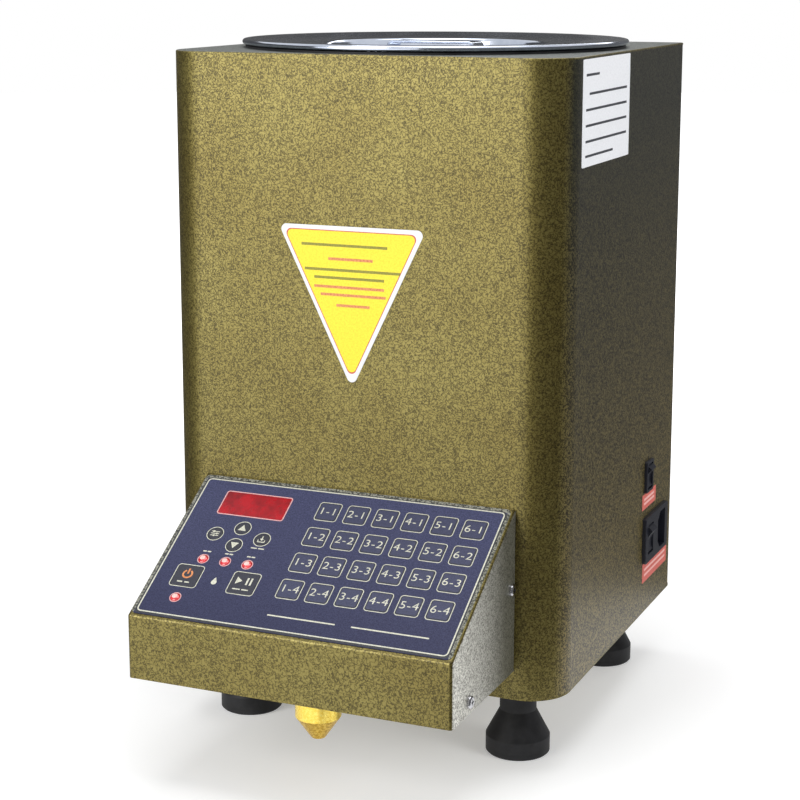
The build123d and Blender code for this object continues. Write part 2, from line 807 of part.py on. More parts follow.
def make_pump_housing():
    """Block with the two overlapping gear bores, the shaft bores and the inlet barb."""
    housing = pump_slab(pump_front, pump_back)
    housing += rod(barb_radius, (0, 0, pump_top - 1), (0, 0, 1), port_length + 1)
    for side in (-1, 1):
        place = (side * pitch_radius, pump_front - 1, pump_height_above_base)
        housing -= rod(cavity_radius, place, (0, 1, 0), cavity_depth + 1)
    floor = pump_front + cavity_depth
    housing -= pump_bore(1, floor - 1, pump_back_wall + 2)
    housing -= pump_bore(-1, floor - 1, pump_back_wall - 1)
    port_start = pump_height_above_base + port_drop - 2
    housing -= rod(port_radius, (0, 0, port_start), (0, 0, 1), pump_top + port_length - port_start + 1)
    housing -= rod(port_radius, (0, pump_front - 1, port_z), (0, 1, 0), cavity_depth)
    for x, z in pump_bolt_places():
        housing -= rod(pump_bolt_radius + screw_clearance, (x, pump_front - 1, z), (0, 1, 0),
                       pump_back - pump_front + 2)
    return housing


def make_pump_cover():
    """Front plate with the blind shaft bores and the delivery barb."""
    front = pump_front - pump_cover_thickness
    cover = pump_slab(front, pump_front)
    cover += rod(barb_radius, (0, front - port_length, port_z), (0, 1, 0), port_length + 1)
    for side in (-1, 1):
        cover -= pump_bore(side, pump_front - journal_depth, journal_depth + 1)
    cover -= rod(port_radius, (0, front - port_length - 1, port_z), (0, 1, 0), 60)
    for x, z in pump_bolt_places():
        cover -= rod(pump_bolt_radius + screw_clearance, (x, front - 1, z), (0, 1, 0),
                     pump_cover_thickness + 2)
    return cover


def make_pump_motor():
    """Geared motor: gearbox, can, rear boss and two terminals."""
    axis = (pitch_radius, motor_front, pump_height_above_base)
    motor = rod(motor_gearbox_radius, axis, (0, 1, 0), motor_gearbox_length)
    can_start = motor_front + motor_gearbox_length
    can = rod(motor_can_radius, (pitch_radius, can_start, pump_height_above_base),
              (0, 1, 0), motor_can_length)
    motor += fillet(can.edges().group_by(Axis.Y)[-1], 2)
    can_end = can_start + motor_can_length
    motor += rod(6, (pitch_radius, can_end - 1, pump_height_above_base), (0, 1, 0), 4)
    for side in (-1, 1):
        x = pitch_radius + side * 11
        motor += block(x - 0.4, x + 0.4, can_end - 1, can_end + 7,
                       pump_height_above_base - 2.4, pump_height_above_base + 2.4)
    return motor - pump_bore(1, motor_front - 1, motor_shaft_depth + 1)


def hose(points, radii):
    """A hollow hose along straight runs and arcs."""
    if radii:
        path = FilletPolyline(*points, radius=radii)
    else:
        path = Polyline(*points)
    ring = Circle(hose_radius) - Circle(barb_radius + hose_fit)
    start = path @ 0
    direction = path % 0
    tube = sweep(Plane(origin=start, z_dir=direction) * ring, path=path)
    area = math.pi * (hose_radius ** 2 - (barb_radius + hose_fit) ** 2)
    print("hose length", round(path.length, 1), "radii", [round(r, 1) for r in radii],
          "volume against section times length", round(tube.volume / (area * path.length), 4))
    return tube


def delivery_route():
    """From the pump cover forward and down to the nozzle's arm."""
    pump_end = pump_front - pump_cover_thickness - port_length + hose_grip
    arm_end = nozzle_y + spout_arm - hose_grip
    return [(0, pump_end, port_z), (0, pump_end - 42, port_z),
            (0, arm_end + 42, spout_arm_z), (0, arm_end, spout_arm_z)]


def bend_radii(points):
    """As large an arc at each corner as its two runs leave room for."""
    radii = []
    for before, here, after in zip(points, points[1:], points[2:]):
        first = Vector(*here) - Vector(*before)
        second = Vector(*after) - Vector(*here)
        turn = math.radians(first.get_angle(second))
        shorter = min(first.length, second.length)
        radii.append(0.45 * shorter / math.tan(turn / 2))
    return radii


def make_syrup_hoses():
    low = pump_top + port_length - hose_grip
    high = outlet_end + hose_grip
    feed = hose([(0, 0, high), (0, 0, low)], [])
    route = delivery_route()
    delivery = hose(route, bend_radii(route))
    return Compound([feed, delivery])


def make_nozzle_spout():
    """Brass fitting: flange on the pan, thread below, and an arm with a hose barb."""
    base = spout_base
    top = base + spout_flange_thickness + spout_height
    spout = rod(spout_flange_radius, (0, nozzle_y, base), (0, 0, 1), spout_flange_thickness)
    spout += rod(thread_radius, (0, nozzle_y, thread_end), (0, 0, 1), base - thread_end + 1)
    spout += rod(thread_radius, (0, nozzle_y, base + 1), (0, 0, 1), top - base - 1)
    spout += rod(barb_radius, (0, nozzle_y, spout_arm_z), (0, 1, 0), spout_arm)
    spout -= rod(barb_bore, (0, nozzle_y, thread_end - 1), (0, 0, 1), spout_arm_z - thread_end + 1)
    return spout - rod(barb_bore, (0, nozzle_y, spout_arm_z), (0, 1, 0), spout_arm + 1)


def make_nozzle_tip():
    """Screwed brass cone: a socket for the thread, a funnel and a short outlet bore."""
    top = box_bottom - nozzle_seat_gap
    socket = thread_radius + thread_clearance
    socket_end = thread_end - 2
    bore_top = nozzle_cone_bottom + nozzle_bore_length
    points = [
        (nozzle_bore, nozzle_cone_bottom),
        (nozzle_mouth_radius, nozzle_cone_bottom),
        (nozzle_radius, nozzle_cylinder_bottom),
        (nozzle_radius, top - 1),
        (nozzle_radius - 1, top),
        (socket, top),
        (socket, socket_end),
        (nozzle_bore, bore_top),
    ]
    return Pos(0, nozzle_y, 0) * ring_profile(points)


def make_power_supply():
    """Closed supply: channel, lid with a lip, and a screw terminal strip."""
    x, y = supply_place
    x0, x1 = x - supply_width / 2, x + supply_width / 2
    y0, y1 = y - supply_depth / 2, y + supply_depth / 2
    supply = block(x0, x1, y0 + 12, y1, 0, supply_height)
    supply += block(x0, x1, y0, y0 + 12, 0, 3)
    supply += block(x0 + 6, x1 - 6, y0 + 3, y0 + 12, 3, 16)
    count = 6
    pitch = (supply_width - 16) / count
    for slot in range(count):
        middle = x0 + 8 + pitch * (slot + 0.5)
        supply -= block(middle - pitch * 0.4, middle + pitch * 0.4, y0, y0 + 9, 9, 17)
    return supply


def rocker_plan(radius):
    """Rocker seen along its hinge: arc ends about the pivot and a hollow face."""
    face = radius * math.sin(math.radians(rocker_face_angle))
    half = radius * math.cos(math.radians(rocker_face_angle))
    dip = rocker_dip
    hollow = (dip ** 2 + half ** 2) / (2 * dip)
    plan = Circle(radius) & (Pos(radius / 2 - 1.5, 0) * Rectangle(radius + 3, 2 * radius))
    return plan - Pos(face - dip + hollow, 0) * Circle(hollow)


def make_rocker(place, radius, width):
    """A rocker tipped to one side, on two short hinge pins."""
    plane = Plane(origin=(side_x - rocker_pivot_depth, place[0], place[1]),
                  x_dir=(1, 0, 0), z_dir=(0, -1, 0))
    body = extrude(Rot(0, 0, -rocker_tilt) * rocker_plan(radius), width / 2, both=True)
    pin = Cylinder(rocker_pin_radius, width + 2 * rocker_pin_length)
    return plane * (body + pin)


def rocker_space(place, radius, opening, mouth):
    """What a rocker needs in its housing: the window, and holes for its pins."""
    reach = radius + rocker_gap
    y, z = place
    space = block(side_x - rocker_pivot_depth - 6, side_x + mouth + 1,
                  y - opening / 2, y + opening / 2, z - reach, z + reach)
    length = opening + 2 * rocker_pin_length + 0.2
    start = (side_x - rocker_pivot_depth, y - length / 2, z)
    return space + rod(rocker_pin_radius + rocker_pin_clearance, start, (0, 1, 0), length)


def side_housing(place, bezel, body, proud, depth, corner):
    """A snap-in moulding: a bezel on the wall and a body through the cut-out."""
    plane = Plane(origin=(side_x, place[0], place[1]), x_dir=(0, 1, 0), z_dir=(1, 0, 0))
    plate = rounded_slab(bezel[0], bezel[1], proud, corner)
    plate = fillet(plate.edges().group_by(Axis.Z)[-1], 0.6)
    return plane * plate + side_box(place, body, side_x - depth, side_x + proud / 2)


def make_switch_housing():
    housing = side_housing(switch_place, switch_bezel, switch_body, switch_proud,
                           switch_body_depth, 1.5)
    return housing - rocker_space(switch_place, switch_rocker_radius, switch_opening,
                                  switch_proud)


def inlet_switch_place():
    return (inlet_place[0] + inlet_switch_shift, inlet_place[1])


def socket_place():
    return (inlet_place[0] + socket_shift, inlet_place[1])


def make_inlet_housing():
    """Mains inlet with its own switch: a rocker window and the earthed socket recess."""
    housing = side_housing(inlet_place, inlet_bezel, inlet_body, inlet_proud,
                           inlet_body_depth, 2.5)
    housing -= rocker_space(inlet_switch_place(), inlet_rocker_radius, inlet_opening,
                            inlet_proud)
    y, z = socket_place()
    plan = Rectangle(*socket_size)
    plan = chamfer(plan.vertices().group_by(Axis.X)[0], socket_chamfer)
    plane = Plane(origin=(side_x + inlet_proud, y, z), x_dir=(0, 1, 0), z_dir=(1, 0, 0))
    housing -= plane * extrude(plan, -socket_depth)
    for pin in inlet_pin_boxes(hose_fit):
        housing -= pin
    return housing


def inlet_pin_boxes(grow):
    """Line, neutral and earth blades, with solder tabs at the back."""
    y, z = socket_place()
    front = side_x + inlet_proud - pin_recess
    back = side_x - inlet_body_depth - pin_tail
    width, height = (size + 2 * grow for size in pin_size)
    pins = []
    for across, up in ((pin_offset, -pin_spread), (pin_offset, pin_spread), (-pin_offset, 0)):
        pins.append(side_box((y + across, z + up), (width, height), back, front))
    return pins


def make_inlet_pins():
    return Compound(inlet_pin_boxes(0))


nodes = {
    "body_shell": make_body_shell(),
    "top_plate": make_top_plate(),
    "back_panel": make_back_panel(),
    "base_plate": make_base_plate(),
    "screws": make_screws(),
    "feet": make_feet(),
    "syrup_pail": make_pail(),
    "pail_seal": make_pail_seal(),
    "pail_outlet": make_pail_outlet(),
    "heater_band": make_heater_band(),
    "pail_lid": make_pail_lid(),
    "control_box": make_control_box(),
    "control_box_base": make_control_box_base(),
    "panel_overlay": make_panel_overlay(),
    "panel_windows": make_panel_windows(),
    "control_board": make_control_board(),
    "pump_housing": make_pump_housing(),
    "pump_cover": make_pump_cover(),
    "drive_gear": make_drive_gear(),
    "driven_gear": make_driven_gear(),
    "pump_motor": make_pump_motor(),
    "syrup_hoses": make_syrup_hoses(),
    "nozzle_spout": make_nozzle_spout(),
    "nozzle_tip": make_nozzle_tip(),
    "power_supply": make_power_supply(),
    "switch_housing": make_switch_housing(),
    "switch_rocker": make_rocker(switch_place, switch_rocker_radius,
                                 switch_opening - 2 * rocker_gap),
    "inlet_housing": make_inlet_housing(),
    "inlet_rocker": make_rocker(inlet_switch_place(), inlet_rocker_radius,
                                inlet_opening - 2 * rocker_gap),
    "inlet_pins": make_inlet_pins(),
}
nodes.update(make_keys())

# The origin is the middle of the whole machine's base, on the surface it stands on.
whole = Compound(list(nodes.values())).bounding_box()
to_origin = Pos(-whole.center().X, -whole.center().Y, -whole.min.Z)

os.makedirs("parts", exist_ok=True)
for name, shape in nodes.items():
    export_step(to_origin * shape, f"parts/{name}.step")
print("nodes", len(nodes), "size", [round(side, 2) for side in whole.size])
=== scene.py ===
import math

import bmesh
import bpy
from mathutils import Matrix, Vector


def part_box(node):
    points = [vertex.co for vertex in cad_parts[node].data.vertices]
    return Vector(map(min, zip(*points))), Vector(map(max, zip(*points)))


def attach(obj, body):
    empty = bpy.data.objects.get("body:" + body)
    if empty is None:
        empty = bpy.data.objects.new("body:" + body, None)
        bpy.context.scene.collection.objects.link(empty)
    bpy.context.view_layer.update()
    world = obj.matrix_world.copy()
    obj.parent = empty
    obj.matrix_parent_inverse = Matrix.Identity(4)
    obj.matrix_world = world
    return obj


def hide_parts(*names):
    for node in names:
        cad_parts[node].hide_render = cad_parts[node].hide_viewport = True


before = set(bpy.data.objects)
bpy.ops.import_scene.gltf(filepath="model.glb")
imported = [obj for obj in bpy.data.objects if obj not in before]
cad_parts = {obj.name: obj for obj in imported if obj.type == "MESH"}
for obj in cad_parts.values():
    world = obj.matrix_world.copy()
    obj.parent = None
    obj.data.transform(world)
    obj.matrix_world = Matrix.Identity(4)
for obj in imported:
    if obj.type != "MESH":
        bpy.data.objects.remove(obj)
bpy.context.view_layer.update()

# Lengths in this file are in millimetres and MM turns them into metres.
MM = 0.001

# Places on the machine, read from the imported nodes.
plate_low, plate_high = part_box("top_plate")
box_low, box_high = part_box("control_box")
MIDDLE = (plate_low + plate_high) / 2
CASING_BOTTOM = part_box("body_shell")[0].z
LIP_HEIGHT = 37.4 * MM
LIP_TOP = box_low.z + LIP_HEIGHT
SLOPE = math.atan2(box_high.z - LIP_TOP, plate_low.y - box_low.y)

# Flat faces that carry print and stickers: x and y lie in the face, z points out of it.
PANEL = Matrix.Translation((MIDDLE.x, box_low.y, LIP_TOP)) @ Matrix.Rotation(SLOPE, 4, "X")
FRONT = Matrix.Translation((MIDDLE.x, plate_low.y, CASING_BOTTOM)) @ Matrix.Rotation(
    math.pi / 2, 4, "X")
RIGHT = Matrix.Translation((plate_high.x, MIDDLE.y, CASING_BOTTOM)) @ Matrix((
    (0, 0, 1, 0), (1, 0, 0, 0), (0, 1, 0, 0), (0, 0, 0, 1)))

# Layout of the keypad, across from the middle and up the slope from the lip.
OVERLAY_TOP = 0.5
KEY_TOP = 0.75
INK = 0.05
FILM_INK = (OVERLAY_TOP, OVERLAY_TOP + INK)
KEY_INK = (KEY_TOP, KEY_TOP + INK)
LINE = 0.5
KEY_SIZE = (12.8, 12.9)
KEY_FIRST = (-9.9, 92.9)
KEY_PITCH = (18.1, -19.85)
WIDE_KEY_SIZE = (15.9, 15.2)
KEY_GAP = 0.5
ROUND_KEY_RADIUS = 4.5
ROUND_KEY_GAP = 0.3
ROUND_KEYS = {
    "key_up": (-56.8, 72.7),
    "key_down": (-56.8, 59.5),
    "key_set": (-72.1, 66.2),
    "key_store": (-41.5, 66.2),
}
WIDE_KEYS = {"key_power": (-75.4, 32.9), "key_stop": (-38.9, 32.9)}
DISPLAY_SIZE = (42.0, 17.2)
DISPLAY_PLACE = (-56.8, 90.9)
LAMP_PLACES = ((-71.1, 46.6), (-56.85, 46.6), (-42.6, 46.6), (-75.4, 16.7))
LAMP_RADIUS = 2.95
DROP_PLACE = (-57.2, 31.0)
DROP_RADIUS = 1.7
BORDER_SIZE = (188.2, 103.0)
BORDER_PLACE = (0, 56.0)

# How far the blue print reaches to each side and up the slope; beyond it the film is grey speckle
# for the box's gold edge paint, greyed as a painted reflection.
PRINT_REACH = 95.8
PRINT_TOP = 109.2

# Where the nozzle's cylinder ends and its cone begins.
CONE_TOP = CASING_BOTTOM - 6.7 * MM


def srgb(red, green, blue):
    """A colour given as it looks on screen, turned into the linear values that shaders take."""
    linear = []
    for value in (red / 255, green / 255, blue / 255):
        linear.append(value / 12.92 if value <= 0.04045 else ((value + 0.055) / 1.055) ** 2.4)
    return (*linear, 1.0)


class Shader:
    """A material on one Principled shader, with short calls for the nodes that feed it."""

    def __init__(self, name, **settings):
        self.material = bpy.data.materials.new(name)
        self.material.use_nodes = True
        self.tree = self.material.node_tree
        self.principled = self.tree.nodes["Principled BSDF"]
        for socket, value in settings.items():
            self.principled.inputs[socket.replace("_", " ")].default_value = value
        self.coordinates = self.tree.nodes.new("ShaderNodeTexCoord").outputs["Object"]

    def link(self, source, target):
        """Join two sockets."""
        self.tree.links.new(source, target)

    def stretched(self, scale):
        """Object coordinates, scaled apart along the three axes."""
        mapping = self.tree.nodes.new("ShaderNodeMapping")
        mapping.inputs["Scale"].default_value = scale
        self.link(self.coordinates, mapping.inputs["Vector"])
        return mapping.outputs["Vector"]

    def noise(self, scale, detail=2.0, roughness=0.5, distortion=0.0, vector=None):
        """A noise texture; a scale of 1000 gives grains of about a millimetre."""
        node = self.tree.nodes.new("ShaderNodeTexNoise")
        node.inputs["Scale"].default_value = scale
        node.inputs["Detail"].default_value = detail
        node.inputs["Roughness"].default_value = roughness
        node.inputs["Distortion"].default_value = distortion
        self.link(vector or self.coordinates, node.inputs["Vector"])
        return node.outputs["Fac"]

    def ramp(self, source, stops):
        """A colour ramp: stops are (position, colour)."""
        node = self.tree.nodes.new("ShaderNodeValToRGB")
        elements = node.color_ramp.elements
        elements[0].position, elements[0].color = stops[0]
        elements[1].position, elements[1].color = stops[-1]
        for position, color in stops[1:-1]:
            elements.new(position).color = color
        self.link(source, node.inputs["Fac"])
        return node.outputs["Color"]

    def spread(self, source, low, high, to_low, to_high):
        """Map a range of a texture to a range of values."""
        node = self.tree.nodes.new("ShaderNodeMapRange")
        for socket, value in (("From Min", low), ("From Max", high), ("To Min", to_low),
                              ("To Max", to_high)):
            node.inputs[socket].default_value = value
        self.link(source, node.inputs["Value"])
        return node.outputs["Result"]

    def mix(self, factor, first, second, kind="MIX"):
        """Blend two colours; each of the three inputs is a socket or a plain value."""
        node = self.tree.nodes.new("ShaderNodeMix")
        node.data_type = "RGBA"
        node.blend_type = kind
        for source, socket in ((factor, node.inputs[0]), (first, node.inputs[6]),
                               (second, node.inputs[7])):
            if isinstance(source, (int, float, tuple)):
                socket.default_value = source
            else:
                self.link(source, socket)
        return node.outputs[2]

    def place(self):
        """Object coordinates taken apart: X, Y and Z."""
        node = self.tree.nodes.new("ShaderNodeSeparateXYZ")
        self.link(self.coordinates, node.inputs["Vector"])
        return node.outputs

    def calculate(self, operation, first, second=0.0):
        """One step of arithmetic on sockets or plain values."""
        node = self.tree.nodes.new("ShaderNodeMath")
        node.operation = operation
        for source, socket in ((first, node.inputs[0]), (second, node.inputs[1])):
            if isinstance(source, (int, float)):
                socket.default_value = source
            else:
                self.link(source, socket)
        return node.outputs["Value"]

    def facing(self, axis):
        """1 on faces that look along an axis, either way, else 0."""
        normal = self.tree.nodes.new("ShaderNodeSeparateXYZ")
        self.link(self.tree.nodes.new("ShaderNodeTexCoord").outputs["Normal"],
                  normal.inputs["Vector"])
        return self.spread(self.calculate("ABSOLUTE", normal.outputs[axis]), 0.8, 0.95, 0.0, 1.0)

    def bump(self, source, strength, distance):
        """Relief from a texture; distance is in millimetres."""
        node = self.tree.nodes.new("ShaderNodeBump")
        node.inputs["Strength"].default_value = strength
        node.inputs["Distance"].default_value = distance * MM
        self.link(source, node.inputs["Height"])
        self.link(node.outputs["Normal"], self.principled.inputs["Normal"])

    def feed(self, socket, source):
        """Drive one input of the Principled shader."""
        self.link(source, self.principled.inputs[socket])


def hammertone(name):
    """Bronze hammered paint: a gold ground with fine dark creases, like grained leather.

    Returns the shader with the parts that its kinds with painted light change.
    """
    s = Shader(name, Coat_Weight=0.3, Coat_Roughness=0.3, Metallic=0.85)
    grain = s.noise(600, detail=1.2, roughness=0.5, distortion=0.5)
    crease = s.calculate("ABSOLUTE", s.calculate("SUBTRACT", grain, 0.5))
    colour = s.ramp(crease, [
        (0.0, srgb(66, 58, 27)), (0.03, srgb(92, 83, 41)),
        (0.075, srgb(121, 110, 57)), (0.16, srgb(134, 123, 68))])
    patches = s.ramp(s.noise(14, detail=3), [
        (0.35, srgb(238, 234, 224)), (0.65, srgb(255, 255, 255))])
    s.feed("Base Color", s.mix(1.0, colour, patches, "MULTIPLY"))
    s.feed("Roughness", s.spread(crease, 0.0, 0.1, 0.54, 0.44))
    s.bump(s.spread(crease, 0.0, 0.12, 0.0, 1.0), 0.5, 0.07)
    return s, crease


def facing_painted_light(name, axis, ramp, metallic, fade=None):
    """Hammered paint whose faces along one axis take another colour: painted light on those faces.

    fade darkens those faces along X, Y or Z: it holds the axis, where it starts and ends, and
    the colour that they are multiplied with at its end.
    """
    s, crease = hammertone(name)
    gold = s.principled.inputs["Base Color"].links[0].from_socket
    # The painted light: a second colour for the faces along the axis; the fade darkens it further
    # as painted shade.
    grey = s.ramp(crease, ramp)
    if fade:
        along, start, end, colour = fade
        share = s.spread(s.place()[along], start, end, 0.0, 1.0)
        grey = s.mix(1.0, grey, s.ramp(share, [(0.0, (1, 1, 1, 1)), (1.0, colour)]), "MULTIPLY")
    turned = s.facing(axis)
    s.feed("Base Color", s.mix(turned, gold, grey))
    s.feed("Metallic", s.spread(turned, 0.0, 1.0, 0.85, metallic))
    return s.material


def polished_steel():
    """Spun stainless steel, polished, with faint waviness and a few wipe marks."""
    s = Shader("polished_steel", Metallic=1.0, Specular_IOR_Level=0.5)
    wipes = s.noise(45, detail=4, roughness=0.65, vector=s.stretched((1.0, 0.25, 1.0)))
    s.feed("Base Color", s.ramp(wipes, [
        (0.3, srgb(178, 186, 201)), (0.7, srgb(206, 212, 225))]))
    s.feed("Roughness", s.spread(wipes, 0.3, 0.7, 0.09, 0.15))
    s.bump(s.noise(26, detail=2), 0.18, 0.5)
    return s.material


def plated(name, colour, darker, roughness):
    """A plated or turned metal with fine machining lines."""
    s = Shader(name, Metallic=1.0)
    lines = s.noise(320, detail=3, roughness=0.6, vector=s.stretched((0.15, 0.15, 4.0)))
    s.feed("Base Color", s.ramp(lines, [(0.3, darker), (0.7, colour)]))
    s.feed("Roughness", s.spread(lines, 0.3, 0.7, roughness + 0.08, roughness - 0.06))
    s.bump(lines, 0.06, 0.03)
    return s.material


def turned_brass():
    """Brass, bright on the nozzle's cylinder; its cone darker and speckled, a painted shade."""
    s = Shader("brass", Metallic=1.0)
    grain = s.noise(700, detail=2, roughness=0.6)
    bright = s.ramp(grain, [(0.35, srgb(246, 210, 88)), (0.65, srgb(255, 230, 118))])
    # Painted shade: the downward-facing cone is darker than the cylinder.
    cone_shade = s.ramp(grain, [(0.40, srgb(194, 156, 54)), (0.60, srgb(236, 200, 92))])
    above = s.spread(s.place()["Z"], CONE_TOP - 0.2 * MM, CONE_TOP + 0.2 * MM, 0.0, 1.0)
    s.feed("Base Color", s.mix(above, cone_shade, bright))
    s.feed("Roughness", s.spread(grain, 0.3, 0.7, 0.36, 0.24))
    s.bump(grain, 0.12, 0.03)
    return s.material


def plastic(name, colour, paler, roughness, grain=1400, relief=0.06):
    """Moulded or printed plastic with a fine even grain."""
    s = Shader(name)
    fine = s.noise(grain, detail=2, roughness=0.6)
    s.feed("Base Color", s.ramp(fine, [(0.38, colour), (0.62, paler)]))
    s.feed("Roughness", s.spread(fine, 0.3, 0.7, roughness + 0.05, roughness - 0.05))
    s.bump(fine, 0.3, relief)
    return s.material


def overlay_film():
    """Printed film: slate blue, paler up the slope; its ends and top are grey speckle for the
    box's hammered edge, a painted reflection.
    """
    s = Shader("overlay_film", Specular_IOR_Level=0.3)
    fine = s.noise(1500, detail=2, roughness=0.6)
    place = s.place()
    ground = s.ramp(s.spread(place["Z"], LIP_TOP, box_high.z, 0.0, 1.0), [
        (0.0, srgb(50, 53, 84)), (1.0, srgb(74, 78, 112))])
    speckle = s.ramp(fine, [(0.35, srgb(180, 180, 194)), (0.65, srgb(255, 255, 255))])
    printed = s.mix(1.0, ground, speckle, "MULTIPLY")
    # Painted reflection: the grey speckle of the ends and top stands for the gold edge paint as it
    # mirrors its surroundings.
    wear_and_reflection = s.ramp(s.noise(880, detail=2), [(0.40, srgb(50, 52, 50)), (0.60, srgb(150, 150, 138))])
    from_middle = s.calculate("ABSOLUTE", s.calculate("SUBTRACT", place["X"], MIDDLE.x))
    side = s.calculate("GREATER_THAN", from_middle, PRINT_REACH * MM)
    top = s.calculate("GREATER_THAN", place["Z"], LIP_TOP + PRINT_TOP * MM * math.sin(SLOPE))
    s.feed("Base Color", s.mix(s.calculate("MAXIMUM", side, top), printed, wear_and_reflection))
    s.feed("Roughness", s.spread(fine, 0.3, 0.7, 0.58, 0.46))
    s.bump(fine, 0.25, 0.03)
    return s.material


def red_filter():
    """Red acrylic, a little uneven in its depth."""
    s = Shader("red_filter", Coat_Weight=0.1, Coat_Roughness=0.15, Specular_IOR_Level=0.25)
    cloud = s.noise(110, detail=4, roughness=0.6)
    s.feed("Base Color", s.ramp(cloud, [
        (0.35, srgb(130, 10, 24)), (0.6, srgb(180, 12, 30))]))
    s.feed("Roughness", s.spread(cloud, 0.3, 0.7, 0.35, 0.22))
    s.bump(s.noise(1200, detail=2), 0.1, 0.02)
    return s.material


def lamp_lens():
    """Glossy red lens of an indicator lamp."""
    s = Shader("lamp_lens", Coat_Weight=1.0, Coat_Roughness=0.05, Roughness=0.2)
    cloud = s.noise(400, detail=2)
    s.feed("Base Color", s.ramp(cloud, [(0.35, srgb(196, 34, 44)), (0.65, srgb(236, 70, 76))]))
    return s.material


def print_ink(name, colour, darker):
    """Screen printed ink, a little uneven."""
    s = Shader(name, Roughness=0.55)
    s.feed("Base Color", s.ramp(s.noise(900, detail=3, roughness=0.7), [
        (0.35, darker), (0.6, colour)]))
    s.bump(s.noise(2200, detail=1), 0.1, 0.02)
    return s.material


def rubber():
    """Black rubber, paler in patches of wear."""
    s = Shader("black_rubber", Specular_IOR_Level=0.35)
    wear_and_reflection = s.noise(60, detail=5, roughness=0.65)
    s.feed("Base Color", s.ramp(wear_and_reflection, [(0.4, srgb(20, 20, 22)), (0.7, srgb(44, 44, 46))]))
    s.feed("Roughness", s.spread(wear_and_reflection, 0.3, 0.7, 0.5, 0.7))
    s.bump(s.noise(900, detail=3), 0.25, 0.06)
    return s.material


def circuit_board():
    """Green solder mask with paler tracks."""
    s = Shader("circuit_board", Coat_Weight=0.4, Coat_Roughness=0.2)
    tracks = s.noise(260, detail=1, vector=s.stretched((1.0, 3.0, 3.0)))
    s.feed("Base Color", s.ramp(tracks, [
        (0.47, srgb(14, 92, 52)), (0.5, srgb(34, 128, 76))]))
    s.feed("Roughness", s.spread(tracks, 0.3, 0.7, 0.4, 0.3))
    return s.material


def clear_hose():
    """Milky silicone hose."""
    s = Shader("clear_hose", Transmission_Weight=0.35, IOR=1.41)
    milk = s.noise(70, detail=3)
    s.feed("Base Color", s.ramp(milk, [(0.3, srgb(214, 210, 196)), (0.7, srgb(232, 228, 216))]))
    s.feed("Roughness", s.spread(milk, 0.3, 0.7, 0.3, 0.42))
    return s.material


PAINT = hammertone("hammertone")[0].material
# Painted shade on the casing's sides: the faces along X get darker paint, which darkens and greys
# further towards the top.
SHELL_PAINT = facing_painted_light(
    "shell_hammertone", "X",
    [(0.0, srgb(34, 29, 14)), (0.05, srgb(64, 56, 30)), (0.11, srgb(132, 117, 68))], 0.3,
    fade=("Z", CASING_BOTTOM + 40 * MM, CASING_BOTTOM + 330 * MM, srgb(120, 134, 158)))
# Painted reflection on the top plate: its faces along Z are grey, as the gold paint looks when it
# mirrors white surroundings at a grazing angle.
TOP_PAINT = facing_painted_light(
    "top_hammertone", "Z", [(0.0, srgb(60, 62, 58)), (0.1, srgb(112, 116, 112))], 0.5)
# Painted reflection on the control box's sides: the faces along X are pale silver grey, and
# painted shade darkens them towards the back.
BOX_PAINT = facing_painted_light(
    "box_hammertone", "X", [(0.0, srgb(100, 98, 88)), (0.1, srgb(226, 224, 214))], 0.15,
    fade=("Y", box_low.y + 6 * MM, box_low.y + 80 * MM, srgb(126, 126, 118)))
STEEL = polished_steel()
BRASS = turned_brass()
NICKEL = plated("nickel", srgb(222, 222, 226), srgb(180, 180, 186), 0.2)
ZINC = plated("zinc", srgb(196, 198, 200), srgb(160, 162, 166), 0.36)
GEAR = plated("gear_steel", srgb(190, 192, 196), srgb(146, 148, 152), 0.25)
PUMP = plated("pump_metal", srgb(206, 207, 210), srgb(176, 178, 182), 0.34)
FOIL = plated("heater_foil", srgb(208, 204, 190), srgb(150, 146, 134), 0.3)
BLACK = plastic("black_plastic", srgb(22, 23, 31), srgb(35, 37, 47), 0.32)
RUBBER = rubber()
OVERLAY = overlay_film()
KEY_FILM = plastic("key_film", srgb(46, 50, 78), srgb(58, 62, 92), 0.5, 1500, 0.03)
DARK_FILM = plastic("dark_film", srgb(32, 34, 46), srgb(44, 46, 60), 0.5, 1500, 0.03)
MARGIN = plastic("panel_margin", srgb(30, 32, 40), srgb(50, 52, 60), 0.5, 1200, 0.04)
RED = red_filter()
LENS = lamp_lens()
BOARD = circuit_board()
HOSE = clear_hose()
CREAM = print_ink("cream_ink", srgb(222, 221, 204), srgb(186, 186, 170))
PINK = print_ink("pink_ink", srgb(236, 186, 186), srgb(214, 150, 152))
ORANGE = print_ink("orange_ink", srgb(226, 150, 96), srgb(196, 116, 66))
WHITE = print_ink("white_paper", srgb(238, 239, 242), srgb(228, 229, 232))
GREY = print_ink("grey_ink", srgb(70, 72, 78), srgb(52, 54, 60))
YELLOW = print_ink("yellow_paper", srgb(250, 232, 60), srgb(240, 214, 42))
SIGNAL = print_ink("red_ink", srgb(206, 92, 78), srgb(190, 78, 66))
OLIVE = print_ink("olive_ink", srgb(150, 146, 50), srgb(126, 122, 40))
ROSE = print_ink("rose_paper", srgb(218, 112, 100), srgb(206, 98, 88))
BLUSH = print_ink("blush_ink", srgb(242, 188, 180), srgb(232, 168, 160))
# Painted highlight for the lamp lenses.
LENS_HIGHLIGHT = print_ink("lens_painted_highlight", srgb(255, 214, 208), srgb(248, 186, 180))

